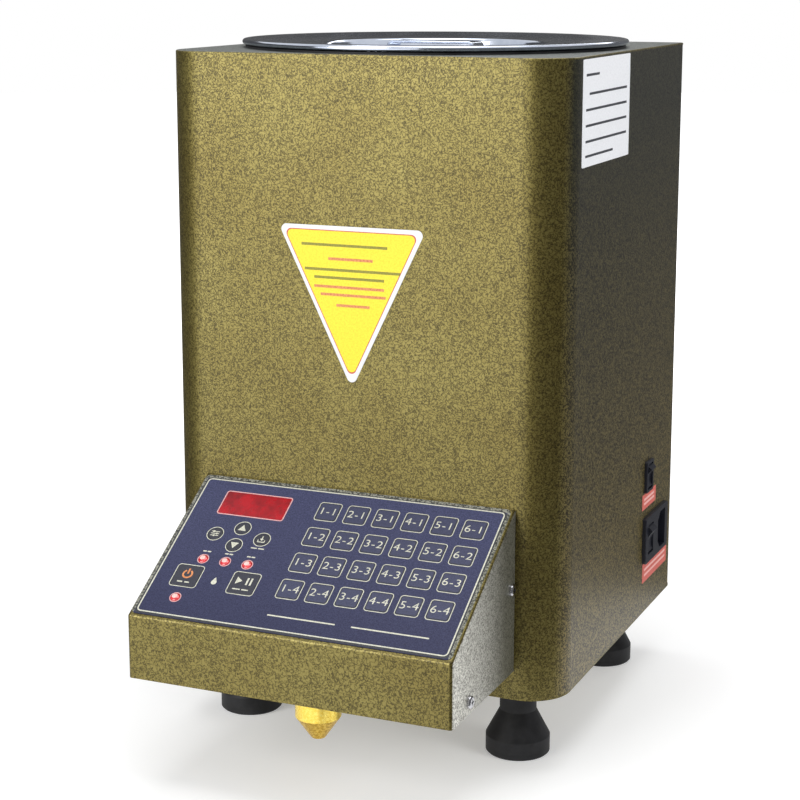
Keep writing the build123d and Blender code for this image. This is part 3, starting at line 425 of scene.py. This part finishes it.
NODE_MATERIALS = {
    "body_shell": SHELL_PAINT, "top_plate": TOP_PAINT, "back_panel": PAINT, "base_plate": PAINT,
    "control_box": BOX_PAINT, "control_box_base": PAINT, "screws": NICKEL, "feet": RUBBER,
    "syrup_pail": STEEL, "pail_seal": RUBBER, "pail_outlet": STEEL, "heater_band": FOIL,
    "pail_lid": STEEL, "panel_overlay": OVERLAY, "panel_windows": RED, "control_board": BOARD,
    "pump_housing": PUMP, "pump_cover": PUMP, "drive_gear": GEAR, "driven_gear": GEAR,
    "pump_motor": ZINC, "syrup_hoses": HOSE, "nozzle_spout": BRASS, "nozzle_tip": BRASS,
    "power_supply": ZINC, "switch_housing": BLACK, "switch_rocker": BLACK,
    "inlet_housing": BLACK, "inlet_rocker": BLACK, "inlet_pins": NICKEL,
}


def dress_nodes():
    """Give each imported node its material; the caps that the table lacks are the keys."""
    for name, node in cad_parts.items():
        dark_key = name.startswith((*ROUND_KEYS, *WIDE_KEYS))
        node.data.materials.clear()
        node.data.materials.append(NODE_MATERIALS.get(name, DARK_FILM if dark_key else KEY_FILM))


def rounded_loop(width, height, radius, centre=(0, 0), steps=6):
    """Points of a rectangle with round corners, anticlockwise."""
    points = []
    for corner, (sx, sy) in enumerate(((1, 1), (-1, 1), (-1, -1), (1, -1))):
        x = centre[0] + sx * (width / 2 - radius)
        y = centre[1] + sy * (height / 2 - radius)
        for step in range(steps + 1):
            angle = math.pi / 2 * (corner + step / steps)
            points.append((x + radius * math.cos(angle), y + radius * math.sin(angle)))
    return points


def circle_loop(radius, centre=(0, 0), steps=40):
    """Points of a full circle, anticlockwise."""
    angles = [2 * math.pi * step / steps for step in range(steps)]
    return [(centre[0] + radius * math.cos(a), centre[1] + radius * math.sin(a)) for a in angles]


def arc(centre, radius, first, last, steps):
    """Points on an arc between two angles in degrees."""
    angles = [math.radians(first + (last - first) * step / steps) for step in range(steps + 1)]
    return [(centre[0] + radius * math.cos(a), centre[1] + radius * math.sin(a)) for a in angles]


def corner_loop(corners, radius, steps=6):
    """Points of a convex polygon with round corners, for corners given anticlockwise."""
    points = []
    count = len(corners)
    for index, corner in enumerate(corners):
        here = Vector(corner)
        before = (Vector(corners[index - 1]) - here).normalized()
        after = (Vector(corners[(index + 1) % count]) - here).normalized()
        half = before.angle(after) / 2
        centre = here + (before + after).normalized() * (radius / math.sin(half))
        start = here + before * (radius / math.tan(half)) - centre
        end = here + after * (radius / math.tan(half)) - centre
        for step in range(steps + 1):
            spoke = start.slerp(end, step / steps)
            points.append(tuple(centre + spoke * radius))
    return points


def slab(bm, loop, low, high):
    """A flat plate between two heights."""
    bottom = [bm.verts.new((x, y, low)) for x, y in loop]
    top = [bm.verts.new((x, y, high)) for x, y in loop]
    bm.faces.new(top)
    bm.faces.new(bottom[::-1])
    count = len(loop)
    for i in range(count):
        j = (i + 1) % count
        bm.faces.new((bottom[i], bottom[j], top[j], top[i]))


def band(bm, outer, inner, low, high):
    """A closed printed line between two loops with as many points."""
    rings = []
    for loop, height in ((outer, low), (outer, high), (inner, high), (inner, low)):
        rings.append([bm.verts.new((x, y, height)) for x, y in loop])
    count = len(outer)
    for ring, following in ((0, 1), (1, 2), (2, 3), (3, 0)):
        for i in range(count):
            j = (i + 1) % count
            bm.faces.new((rings[ring][i], rings[ring][j], rings[following][j],
                          rings[following][i]))


def frame_line(bm, width, height, radius, centre, line, low, high):
    """An outline round a rectangular place: the line lies outside the given size."""
    outer = rounded_loop(width + 2 * line, height + 2 * line, radius + line, centre)
    band(bm, outer, rounded_loop(width, height, radius, centre), low, high)


def dome(bm, radius, height, centre, low, rings=5, steps=32):
    """A shallow lens."""
    previous = None
    for ring in range(rings):
        angle = math.pi / 2 * ring / rings
        reach = radius * math.cos(angle)
        up = low + height * math.sin(angle)
        current = [bm.verts.new((x, y, up)) for x, y in circle_loop(reach, centre, steps)]
        if previous:
            for i in range(steps):
                j = (i + 1) % steps
                bm.faces.new((previous[i], previous[j], current[j], current[i]))
        previous = current
    tip = bm.verts.new((centre[0], centre[1], low + height))
    for i in range(steps):
        bm.faces.new((previous[i], previous[(i + 1) % steps], tip))


def mesh_object(name, bm, material, transform=None):
    """Turn a bmesh into an object of the scene."""
    mesh = bpy.data.meshes.new(name)
    bm.to_mesh(mesh)
    bm.free()
    if transform is not None:
        mesh.transform(transform)
    mesh.materials.append(material)
    made = bpy.data.objects.new(name, mesh)
    bpy.context.scene.collection.objects.link(made)
    return made


def piece(name, bm, face, material, body, smooth=False):
    """Turn local millimetres on a face into an object that rides on a body."""
    bmesh.ops.recalc_face_normals(bm, faces=bm.faces)
    made = mesh_object(name, bm, material, face @ Matrix.Scale(MM, 4))
    for polygon in made.data.polygons:
        polygon.use_smooth = smooth
    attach(made, body)
    return made


def lettering(name, text, place, body):
    """Printed figures centred on a key, a little wider than the font draws them."""
    size, thickness, widening = 7.4, 0.02, 1.1
    curve = bpy.data.curves.new(name, "FONT")
    curve.body = text
    curve.size = size
    curve.align_x = "CENTER"
    curve.align_y = "CENTER"
    curve.extrude = thickness
    curve.offset = -0.03
    curve.space_character = 1.1
    source = bpy.data.objects.new(name + "_outline", curve)
    bpy.context.scene.collection.objects.link(source)
    bpy.context.view_layer.update()
    evaluated = source.evaluated_get(bpy.context.evaluated_depsgraph_get())
    bm = bmesh.new()
    bm.from_mesh(evaluated.to_mesh())
    bpy.data.objects.remove(source)
    bmesh.ops.scale(bm, verts=bm.verts, vec=(widening, 1.0, 1.0))
    height = KEY_TOP + thickness + 0.01
    bmesh.ops.translate(bm, verts=bm.verts, vec=(place[0], place[1], height))
    piece(name, bm, PANEL, CREAM, body)


def dose_keys():
    """The column, row and place of each dose key."""
    for column in range(6):
        for row in range(4):
            yield column + 1, row + 1, (KEY_FIRST[0] + column * KEY_PITCH[0],
                                        KEY_FIRST[1] + row * KEY_PITCH[1])


def panel_lines():
    """The border and the outlines round every key."""
    border_corner, key_corner, wide_corner = 2.0, 1.6, 1.7
    border_line = 0.8
    bm = bmesh.new()
    frame_line(bm, *BORDER_SIZE, border_corner, BORDER_PLACE, border_line, *FILM_INK)
    for _, _, place in dose_keys():
        frame_line(bm, KEY_SIZE[0] + KEY_GAP, KEY_SIZE[1] + KEY_GAP, key_corner, place, LINE,
                   *FILM_INK)
    for place in WIDE_KEYS.values():
        frame_line(bm, WIDE_KEY_SIZE[0] + KEY_GAP, WIDE_KEY_SIZE[1] + KEY_GAP, wide_corner,
                   place, LINE, *FILM_INK)
    around = ROUND_KEY_RADIUS + ROUND_KEY_GAP
    for place in ROUND_KEYS.values():
        band(bm, circle_loop(around + LINE, place), circle_loop(around, place), *FILM_INK)
    piece("panel_lines", bm, PANEL, CREAM, "machine")


def panel_margin():
    """The dark margin between the blue print and the grey edge."""
    corner, thickness = 2.8, 0.03
    bm = bmesh.new()
    band(bm, rounded_loop(2 * PRINT_REACH, 106.6, corner, (0, 55.6)),
         rounded_loop(189.8, 104.6, corner, BORDER_PLACE), OVERLAY_TOP, OVERLAY_TOP + thickness)
    piece("panel_margin", bm, PANEL, MARGIN, "machine")


def window_lines():
    """The outlines round the display and the lamps."""
    gap, corner, display_line = 0.2, 1.2, 0.7
    ring_inner, ring_outer = LAMP_RADIUS + 0.1, LAMP_RADIUS + 0.6
    bm = bmesh.new()
    frame_line(bm, DISPLAY_SIZE[0] + gap, DISPLAY_SIZE[1] + gap, corner, DISPLAY_PLACE,
               display_line, *FILM_INK)
    for place in LAMP_PLACES:
        band(bm, circle_loop(ring_outer, place), circle_loop(ring_inner, place), *FILM_INK)
    piece("window_lines", bm, PANEL, PINK, "machine")


def lamps():
    """The lens of each lamp, with a painted highlight on it: a milky white spot."""
    lens_height = 0.9
    glint_radius, glint_height, glint_foot = 1.75, 0.55, 0.62
    bm = bmesh.new()
    for place in LAMP_PLACES:
        dome(bm, LAMP_RADIUS - 0.1, lens_height, place, OVERLAY_TOP)
    piece("lamp_lenses", bm, PANEL, LENS, "machine", smooth=True)
    # Painted highlight: a pale spot on each lens where a lamp would be mirrored.
    bm = bmesh.new()
    for x, y in LAMP_PLACES:
        dome(bm, glint_radius, glint_height, (x - 0.3, y + 0.35), OVERLAY_TOP + glint_foot,
             rings=3, steps=20)
    piece("lamp_glints", bm, PANEL, LENS_HIGHLIGHT, "machine", smooth=True)


def dose_key_figures():
    """The figures of each dose key and a dark band round its edge, painted shade of the embossed
    key, which ride on its cap.
    """
    rim, thickness = 0.9, 0.02
    for column, row, place in dose_keys():
        cap = f"key_{column}_{row}_cap"
        lettering(f"figures_{column}_{row}", f"{column}-{row}", place, cap)
        # Painted shade: a dark band just inside the key's edge, where the embossed key would shade
        # itself.
        bm = bmesh.new()
        band(bm, rounded_loop(KEY_SIZE[0], KEY_SIZE[1], 1.4, place),
             rounded_loop(KEY_SIZE[0] - rim, KEY_SIZE[1] - rim, 1.0, place),
             KEY_TOP, KEY_TOP + thickness)
        piece(f"key_painted_shade_{column}_{row}", bm, PANEL, DARK_FILM, cap)


def bar(bm, x0, x1, y0, y1, low, high):
    """A printed bar between two corners."""
    slab(bm, [(x0, y0), (x1, y0), (x1, y1), (x0, y1)], low, high)


def rules(bm, rows, half, low, high):
    """Plain lines in place of print: rows are (height, start, end)."""
    for up, first, last in rows:
        bar(bm, first, last, up - half, up + half, low, high)


def sign(key, kind, bm, ink):
    """Print on a key, which rides on its cap."""
    piece(f"{key}_{kind}", bm, PANEL, ink, key + "_cap")


def arrow_signs():
    """The arrows of the up and down keys."""
    for key, turn in (("key_up", 1), ("key_down", -1)):
        x, y = ROUND_KEYS[key]
        corners = [(x - 2.6, y - 1.9 * turn), (x + 2.6, y - 1.9 * turn), (x, y + 2.5 * turn)]
        bm = bmesh.new()
        slab(bm, corners if turn > 0 else corners[::-1], *KEY_INK)
        sign(key, "arrow", bm, CREAM)


def set_sign():
    """Three sliders."""
    x, y = ROUND_KEYS["key_set"]
    low, high = KEY_INK
    bm = bmesh.new()
    for up in (-1.5, 0.0, 1.5):
        bar(bm, x - 2.6, x + 2.6, y + up - 0.25, y + up + 0.25, low, high)
    for across, up in ((-1.2, 1.5), (1.1, 0.0), (-0.3, -1.5)):
        slab(bm, circle_loop(0.7, (x + across, y + up), 16), low, high + 0.01)
    sign("key_set", "sign", bm, CREAM)


def store_sign():
    """An arrow that points into a tray."""
    x, y = ROUND_KEYS["key_store"]
    bm = bmesh.new()
    bar(bm, x - 2.4, x + 2.4, y - 2.4, y - 1.8, *KEY_INK)
    bar(bm, x - 2.4, x - 1.8, y - 1.8, y - 0.6, *KEY_INK)
    bar(bm, x + 1.8, x + 2.4, y - 1.8, y - 0.6, *KEY_INK)
    bar(bm, x - 0.35, x + 0.35, y + 0.2, y + 2.4, *KEY_INK)
    slab(bm, [(x - 1.3, y + 0.4), (x, y - 1.2), (x + 1.3, y + 0.4)], *KEY_INK)
    sign("key_store", "sign", bm, CREAM)


def power_sign():
    """A ring with a bar in its gap, over two plain lines."""
    x, y = WIDE_KEYS["key_power"]
    centre, steps = (x, y + 1.2), 28
    outer = arc(centre, 3.3, 120, 420, steps)
    inner = arc(centre, 2.2, 120, 420, steps)
    bm = bmesh.new()
    for i in range(steps):
        slab(bm, [outer[i], outer[i + 1], inner[i + 1], inner[i]], *KEY_INK)
    bar(bm, x - 0.55, x + 0.55, y + 1.4, y + 5.2, *KEY_INK)
    sign("key_power", "sign", bm, ORANGE)
    bm = bmesh.new()
    bar(bm, x - 4.2, x - 0.8, y - 5.2, y - 4.3, *KEY_INK)
    bar(bm, x + 0.6, x + 3.6, y - 5.2, y - 4.3, *KEY_INK)
    sign("key_power", "marks", bm, CREAM)


def stop_sign():
    """A triangle and two bars, over two plain lines."""
    x, y = WIDE_KEYS["key_stop"]
    bm = bmesh.new()
    slab(bm, [(x - 5.2, y - 1.0), (x - 1.4, y + 1.6), (x - 5.2, y + 4.2)], *KEY_INK)
    bar(bm, x + 1.2, x + 2.3, y - 1.0, y + 4.2, *KEY_INK)
    bar(bm, x + 3.6, x + 4.7, y - 1.0, y + 4.2, *KEY_INK)
    bar(bm, x - 5.2, x - 0.4, y - 5.0, y - 4.2, *KEY_INK)
    bar(bm, x + 0.6, x + 4.7, y - 5.0, y - 4.2, *KEY_INK)
    sign("key_stop", "sign", bm, CREAM)


def panel_marks():
    """Plain lines by the lamps, the store key and the foot of the panel, and the drop."""
    bm = bmesh.new()
    for across, up in LAMP_PLACES[:3]:
        bar(bm, across - 2.6, across - 0.3, up + 5.4, up + 6.3, *FILM_INK)
        bar(bm, across + 0.3, across + 2.6, up + 5.4, up + 6.3, *FILM_INK)
    across, up = ROUND_KEYS["key_store"]
    bar(bm, across - 4.2, across - 0.4, up - 7.3, up - 6.5, *FILM_INK)
    bar(bm, across + 0.4, across + 4.2, up - 7.3, up - 6.5, *FILM_INK)
    for first, last in ((-15.8, 25.4), (35.2, 81.0)):
        bar(bm, first, last, 13.4, 14.3, *FILM_INK)
    slab(bm, drop_outline(DROP_PLACE, DROP_RADIUS), *FILM_INK)
    piece("panel_marks", bm, PANEL, CREAM, "machine")


def drop_outline(centre, radius):
    """A drop: a round belly under a point."""
    x, y = centre
    return [(x, y + 2.2 * radius)] + arc(centre, radius, 150, 390, 20)


def front_sticker():
    """The yellow triangle on white paper, with a red line along its edge and plain rules."""
    outer = [(-2.4, 172.9), (43.6, 267.8), (-48.8, 267.5)]
    inner = [(-2.5, 178.2), (39.5, 265.2), (-45.4, 265.1)]
    middle = (Vector(inner[0]) + Vector(inner[1]) + Vector(inner[2])) / 3
    line = [tuple(middle + (Vector(corner) - middle) * 0.982) for corner in inner]
    paper, field, ink = 0.15, 0.19, 0.21
    bm = bmesh.new()
    slab(bm, corner_loop(outer, 3.2), 0.0, paper)
    piece("front_sticker", bm, FRONT, WHITE, "machine")
    bm = bmesh.new()
    slab(bm, corner_loop(inner, 3.0), paper, field)
    piece("front_sticker_field", bm, FRONT, YELLOW, "machine")
    bm = bmesh.new()
    band(bm, corner_loop(inner, 3.0), corner_loop(line, 2.9), field, ink)
    piece("front_sticker_line", bm, FRONT, SIGNAL, "machine")
    for name, material, rows in (
            ("front_sticker_rules", OLIVE, ((256.5, -34, 20), (242.2, -32, 28), (237.6, -26, 18))),
            ("front_sticker_marks", ORANGE, ((248.6, -17, 11), (232.3, -26, 18), (227.8, -22, 19),
                                             (221.7, -12, 9)))):
        bm = bmesh.new()
        rules(bm, rows, 0.8, field, ink)
        piece(name, bm, FRONT, material, "machine")


def side_sticker():
    """The white label at the top of the right side, with plain rules."""
    paper, ink = 0.15, 0.19
    bm = bmesh.new()
    slab(bm, rounded_loop(90.0, 59.8, 1.0, (-47.0, 333.4)), 0.0, paper)
    piece("side_sticker", bm, RIGHT, WHITE, "machine")
    rows = ((354.5, -86, -62), (344.0, -80, -8), (335.2, -86, -8),
            (326.4, -86, -8), (317.6, -86, -8), (309.4, -86, -34))
    bm = bmesh.new()
    rules(bm, rows, 0.7, paper, ink)
    piece("side_sticker_rules", bm, RIGHT, GREY, "machine")


def red_stickers():
    """The labels below the rocker switch and the inlet, each with two pale lines."""
    paper, ink, inset = 0.12, 0.15, 4.0
    for name, y0, y1, z0, z1 in (("switch_sticker", 49, 80, 69.0, 79.2),
                                 ("inlet_sticker", 53, 110, 19.0, 32.0)):
        centre = ((y0 + y1) / 2, (z0 + z1) / 2)
        bm = bmesh.new()
        slab(bm, rounded_loop(y1 - y0, z1 - z0, 0.5, centre), 0.0, paper)
        piece(name, bm, RIGHT, ROSE, "machine")
        rows = [(z0 + (z1 - z0) * share, y0 + inset, y1 - inset) for share in (0.36, 0.64)]
        bm = bmesh.new()
        rules(bm, rows, 0.8, paper, ink)
        piece(name + "_lines", bm, RIGHT, BLUSH, "machine")


def lathe(bm, profile, steps=180):
    """Turn a closed outline of (radius, height) about the upright axis.

    A point on the axis becomes one vertex, and its neighbours meet there in triangles.
    """
    rings = []
    for radius, height in profile:
        if radius < 0.001:
            rings.append([bm.verts.new((0, 0, height))])
        else:
            loop = circle_loop(radius, steps=steps)
            rings.append([bm.verts.new((x, y, height)) for x, y in loop])
    for first, second in zip(rings, rings[1:] + rings[:1]):
        if len(first) == 1 and len(second) == 1:
            continue
        for i in range(steps):
            j = (i + 1) % steps
            if len(first) == 1:
                bm.faces.new((first[0], second[i], second[j]))
            elif len(second) == 1:
                bm.faces.new((first[i], first[j], second[0]))
            else:
                bm.faces.new((first[i], first[j], second[j], second[i]))


def spun_lid():
    """The dished lid: rolled rim, shallow fall, deep recess for the strap, skirt inside."""
    low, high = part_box("pail_lid")
    middle = (low + high) / 2
    reach = (high.x - low.x) / 2 / MM
    top = Matrix.Translation((middle.x, middle.y, high.z))
    gauge, curl = 0.8, 1.6
    recess, depth, slope = 68.0, 16.0, 4.0

    # Points (radius, height) along the upper side, from the rolled rim to the middle.
    upper = arc((reach - curl, -curl), curl, -150, 90, 20)
    upper += [(108.5, 0.0), (105.0, -0.35), (101.0, -1.1), (96.0, -1.9), (88.0, -2.5)]
    upper += arc((recess + 2.2, -4.8), 2.2, 90, 166, 8)
    upper += arc((recess - slope - 1.4, -depth + 1.6), 1.6, -14, -90, 6)
    upper += [(40.0, -depth - 0.05), (0.0, -depth - 0.1)]

    # And back along the underside, with the skirt that centres the lid in the pail.
    under = [(0.0, -depth - 0.7), (recess - slope - 2.0, -depth - gauge)]
    under += arc((recess - slope - 1.0, -depth + 0.8), 1.6, -80, -14, 5)
    under += [(recess + 0.9, -4.4), (recess + 2.6, -3.5), (88.0, -3.3), (96.0, -2.7)]
    under += [(101.0, -2.0), (107.0, -1.3), (107.0, -7.8), (107.8, -7.8), (108.0, -gauge)]
    under += [(reach - curl - 1.2, -gauge)]

    bm = bmesh.new()
    lathe(bm, upper + under)
    lid = piece("spun_lid", bm, top, STEEL, "lid", smooth=True)
    lid.data.set_sharp_from_angle(angle=math.radians(50))
    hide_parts("pail_lid")


def bent_line(corners, radius, steps=6):
    """An open line that goes round its square corners in arcs."""
    points = [Vector(corners[0])]
    for before, here, after in zip(corners, corners[1:], corners[2:]):
        back = (Vector(before) - Vector(here)).normalized()
        onward = (Vector(after) - Vector(here)).normalized()
        centre = Vector(here) + (back + onward) * radius
        for step in range(steps + 1):
            angle = math.pi / 2 * step / steps
            points.append(centre - (onward * math.cos(angle) + back * math.sin(angle)) * radius)
    return points + [Vector(corners[-1])]


def strap_grip():
    """The lid's handle: a steel strap bent like a low bridge over its recess."""
    low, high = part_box("pail_lid")
    middle = (low + high) / 2
    reach, foot, top, floor = 28.0, 11.0, -2.2, -15.25
    line = bent_line([(-reach - foot, floor), (-reach, floor), (-reach, top), (reach, top),
                      (reach, floor), (reach + foot, floor)], 3.0)
    section = [(-9.0, -0.5), (-8.7, -0.8), (8.7, -0.8), (9.0, -0.5),
               (9.0, 0.5), (8.7, 0.8), (-8.7, 0.8), (-9.0, 0.5)]
    bm = bmesh.new()
    rings = []
    for index, point in enumerate(line):
        along = (line[min(index + 1, len(line) - 1)] - line[max(index - 1, 0)]).normalized()
        out = Vector((-along.y, along.x))
        rings.append([bm.verts.new((point.x + out.x * through, across, point.y + out.y * through))
                      for across, through in section])
    bm.faces.new(rings[0])
    bm.faces.new(rings[-1][::-1])
    for first, second in zip(rings, rings[1:]):
        for i in range(len(section)):
            j = (i + 1) % len(section)
            bm.faces.new((first[i], second[i], second[j], first[j]))
    face = Matrix.Translation((middle.x, middle.y, high.z))
    grip = piece("strap_grip", bm, face, STEEL, "lid", smooth=True)
    grip.data.set_sharp_from_angle(angle=math.radians(35))


def place_camera():
    """The photograph's view: from the front right, a little above."""
    yaw, pitch, roll = 0.4046, 0.1935, 0.0008
    offset = Vector((450.66, -1107.43, 414.81)) * MM
    lens, shift = 86.4, -0.075
    forward = Vector((-math.sin(yaw) * math.cos(pitch), math.cos(yaw) * math.cos(pitch),
                      -math.sin(pitch)))
    right = Vector((math.cos(yaw), math.sin(yaw), 0))
    up = right.cross(forward)
    across = right * math.cos(roll) + up * math.sin(roll)
    upward = up * math.cos(roll) - right * math.sin(roll)
    turned = Matrix((across, upward, -forward)).transposed().to_4x4()
    place = Vector((MIDDLE.x, MIDDLE.y, CASING_BOTTOM)) + offset
    camera = bpy.data.objects.new("camera", bpy.data.cameras.new("camera"))
    camera.matrix_world = Matrix.Translation(place) @ turned
    camera.data.sensor_width = 36
    camera.data.lens = lens
    camera.data.shift_y = shift
    camera.data.clip_start = 0.05
    bpy.context.scene.collection.objects.link(camera)
    bpy.context.scene.camera = camera


def area_lamp(name, place, size, power, target):
    """A soft lamp aimed at the machine: place and size in metres, power in watts."""
    lamp = bpy.data.lights.new(name, "AREA")
    lamp.shape = "RECTANGLE"
    lamp.size, lamp.size_y = size
    lamp.energy = power
    made = bpy.data.objects.new(name, lamp)
    made.location = place
    made.rotation_mode = "QUATERNION"
    made.rotation_quaternion = (Vector(target) - Vector(place)).to_track_quat("-Z", "Y")
    bpy.context.scene.collection.objects.link(made)
    return made


def glowing(name, level):
    """A material that shines evenly, at a level between black and white."""
    material = bpy.data.materials.new(name)
    material.use_nodes = True
    tree = material.node_tree
    glow = tree.nodes.new("ShaderNodeEmission")
    glow.inputs["Color"].default_value = (level, level, level, 1)
    tree.links.new(glow.outputs["Emission"], tree.nodes["Material Output"].inputs["Surface"])
    return material


def dark_card(name, radius, first, last, level, low=0.4, high=1.1, inner=None):
    """A curved dark card round the machine that only reflections see, as in a photo studio.

    Its two ends are given in degrees from straight ahead of the machine, towards its right.
    With an inner radius, it also covers the floor from there to its foot.
    """
    outline = [(radius, low), (radius, high)]
    if inner:
        outline.insert(0, (inner, low))
    bm = bmesh.new()
    steps = 24
    edges = []
    for step in range(steps + 1):
        angle = math.radians(first + (last - first) * step / steps)
        edges.append([bm.verts.new((MIDDLE.x + reach * math.sin(angle),
                                    MIDDLE.y - reach * math.cos(angle), height))
                      for reach, height in outline])
    for here, onward in zip(edges, edges[1:]):
        for i in range(len(outline) - 1):
            bm.faces.new((here[i], onward[i], onward[i + 1], here[i + 1]))
    card = mesh_object(name, bm, glowing(name, level))
    card.visible_camera = False
    card.visible_diffuse = False
    card.visible_shadow = False
    card.visible_transmission = False


def light_the_studio():
    """Four soft lamps, cards beside the machine for its paint and behind it for its lid."""
    target = (MIDDLE.x, MIDDLE.y - 0.1, 0.22)
    area_lamp("key_lamp", (-0.98, -2.06, 1.05), (1.4, 1.6), 38, target)
    area_lamp("top_lamp", (0.0, 0.1, 2.1), (1.6, 1.4), 20, target)
    fill = area_lamp("fill_lamp", (1.9, -0.5, 0.8), (0.8, 1.2), 16, target)
    fill.visible_glossy = False
    area_lamp("back_lamp", (0.3, 2.2, 1.1), (1.6, 1.2), 14, target)
    dark_card("right_card", 0.44, 14, 178, level=0.16, low=0.001, high=0.6, inner=0.28)
    dark_card("left_card", 0.5, -172, -44, level=0.1, low=0.001, high=0.6, inner=0.34)
    dark_card("back_card_near", 1.5, 184, 200, level=0.14)
    dark_card("back_card_middle", 1.5, 203, 207, level=0.25)
    dark_card("back_card_next", 1.5, 210, 221, level=0.14)
    dark_card("back_card_far", 1.6, 226, 250, level=0.22)


def seen_directly(tree):
    """1 for camera, glossy and transmission rays, else 0."""
    rays = tree.nodes.new("ShaderNodeLightPath")
    total = rays.outputs["Is Camera Ray"]
    for name in ("Is Glossy Ray", "Is Transmission Ray"):
        larger = tree.nodes.new("ShaderNodeMath")
        larger.operation = "MAXIMUM"
        tree.links.new(total, larger.inputs[0])
        tree.links.new(rays.outputs[name], larger.inputs[1])
        total = larger.outputs[0]
    return total


def white_world():
    """White where it is seen or mirrored, and dimmer in the light that it sheds."""
    world = bpy.data.worlds.new("studio")
    bpy.context.scene.world = world
    world.use_nodes = True
    tree = world.node_tree
    ambient = tree.nodes["Background"]
    ambient.inputs["Color"].default_value = (0.95, 0.97, 1.0, 1.0)
    ambient.inputs["Strength"].default_value = 0.35
    white = tree.nodes.new("ShaderNodeBackground")
    white.inputs["Color"].default_value = (1, 1, 1, 1)
    choice = tree.nodes.new("ShaderNodeMixShader")
    tree.links.new(seen_directly(tree), choice.inputs["Fac"])
    tree.links.new(ambient.outputs["Background"], choice.inputs[1])
    tree.links.new(white.outputs["Background"], choice.inputs[2])
    tree.links.new(choice.outputs["Shader"], tree.nodes["World Output"].inputs["Surface"])


def floor_material():
    """Matt pale grey, with a glow that grows outwards until it meets the white backdrop."""
    fade_start, fade_end, weakest = 0.35, 1.2, 0.3
    material = bpy.data.materials.new("floor")
    material.use_nodes = True
    tree = material.node_tree
    matte = tree.nodes["Principled BSDF"]
    matte.inputs["Base Color"].default_value = (0.85, 0.85, 0.85, 1)
    matte.inputs["Roughness"].default_value = 1.0
    matte.inputs["Specular IOR Level"].default_value = 0.0
    coordinates = tree.nodes.new("ShaderNodeTexCoord")
    distance = tree.nodes.new("ShaderNodeVectorMath")
    distance.operation = "LENGTH"
    tree.links.new(coordinates.outputs["Object"], distance.inputs[0])
    fade = tree.nodes.new("ShaderNodeMapRange")
    for socket, value in (("From Min", fade_start), ("From Max", fade_end),
                          ("To Min", weakest), ("To Max", 1.0)):
        fade.inputs[socket].default_value = value
    tree.links.new(distance.outputs["Value"], fade.inputs["Value"])
    shown = tree.nodes.new("ShaderNodeMath")
    shown.operation = "MULTIPLY"
    tree.links.new(fade.outputs["Result"], shown.inputs[0])
    tree.links.new(seen_directly(tree), shown.inputs[1])
    glow = tree.nodes.new("ShaderNodeEmission")
    tree.links.new(shown.outputs[0], glow.inputs["Strength"])
    total = tree.nodes.new("ShaderNodeAddShader")
    tree.links.new(matte.outputs["BSDF"], total.inputs[0])
    tree.links.new(glow.outputs["Emission"], total.inputs[1])
    tree.links.new(total.outputs["Shader"], tree.nodes["Material Output"].inputs["Surface"])
    return material


def pale_floor():
    """A round floor, just below the feet, that keeps the machine's shadow."""
    bm = bmesh.new()
    bm.faces.new([bm.verts.new((x, y, 0)) for x, y in circle_loop(6.0, steps=96)])
    floor = mesh_object("floor", bm, floor_material())
    floor.location.z = -0.0002


dress_nodes()
panel_lines()
panel_margin()
window_lines()
lamps()
dose_key_figures()
arrow_signs()
set_sign()
store_sign()
power_sign()
stop_sign()
panel_marks()
front_sticker()
side_sticker()
red_stickers()
spun_lid()
strap_grip()
place_camera()
light_the_studio()
white_world()
pale_floor()
bpy.context.scene.view_settings.view_transform = "Standard"
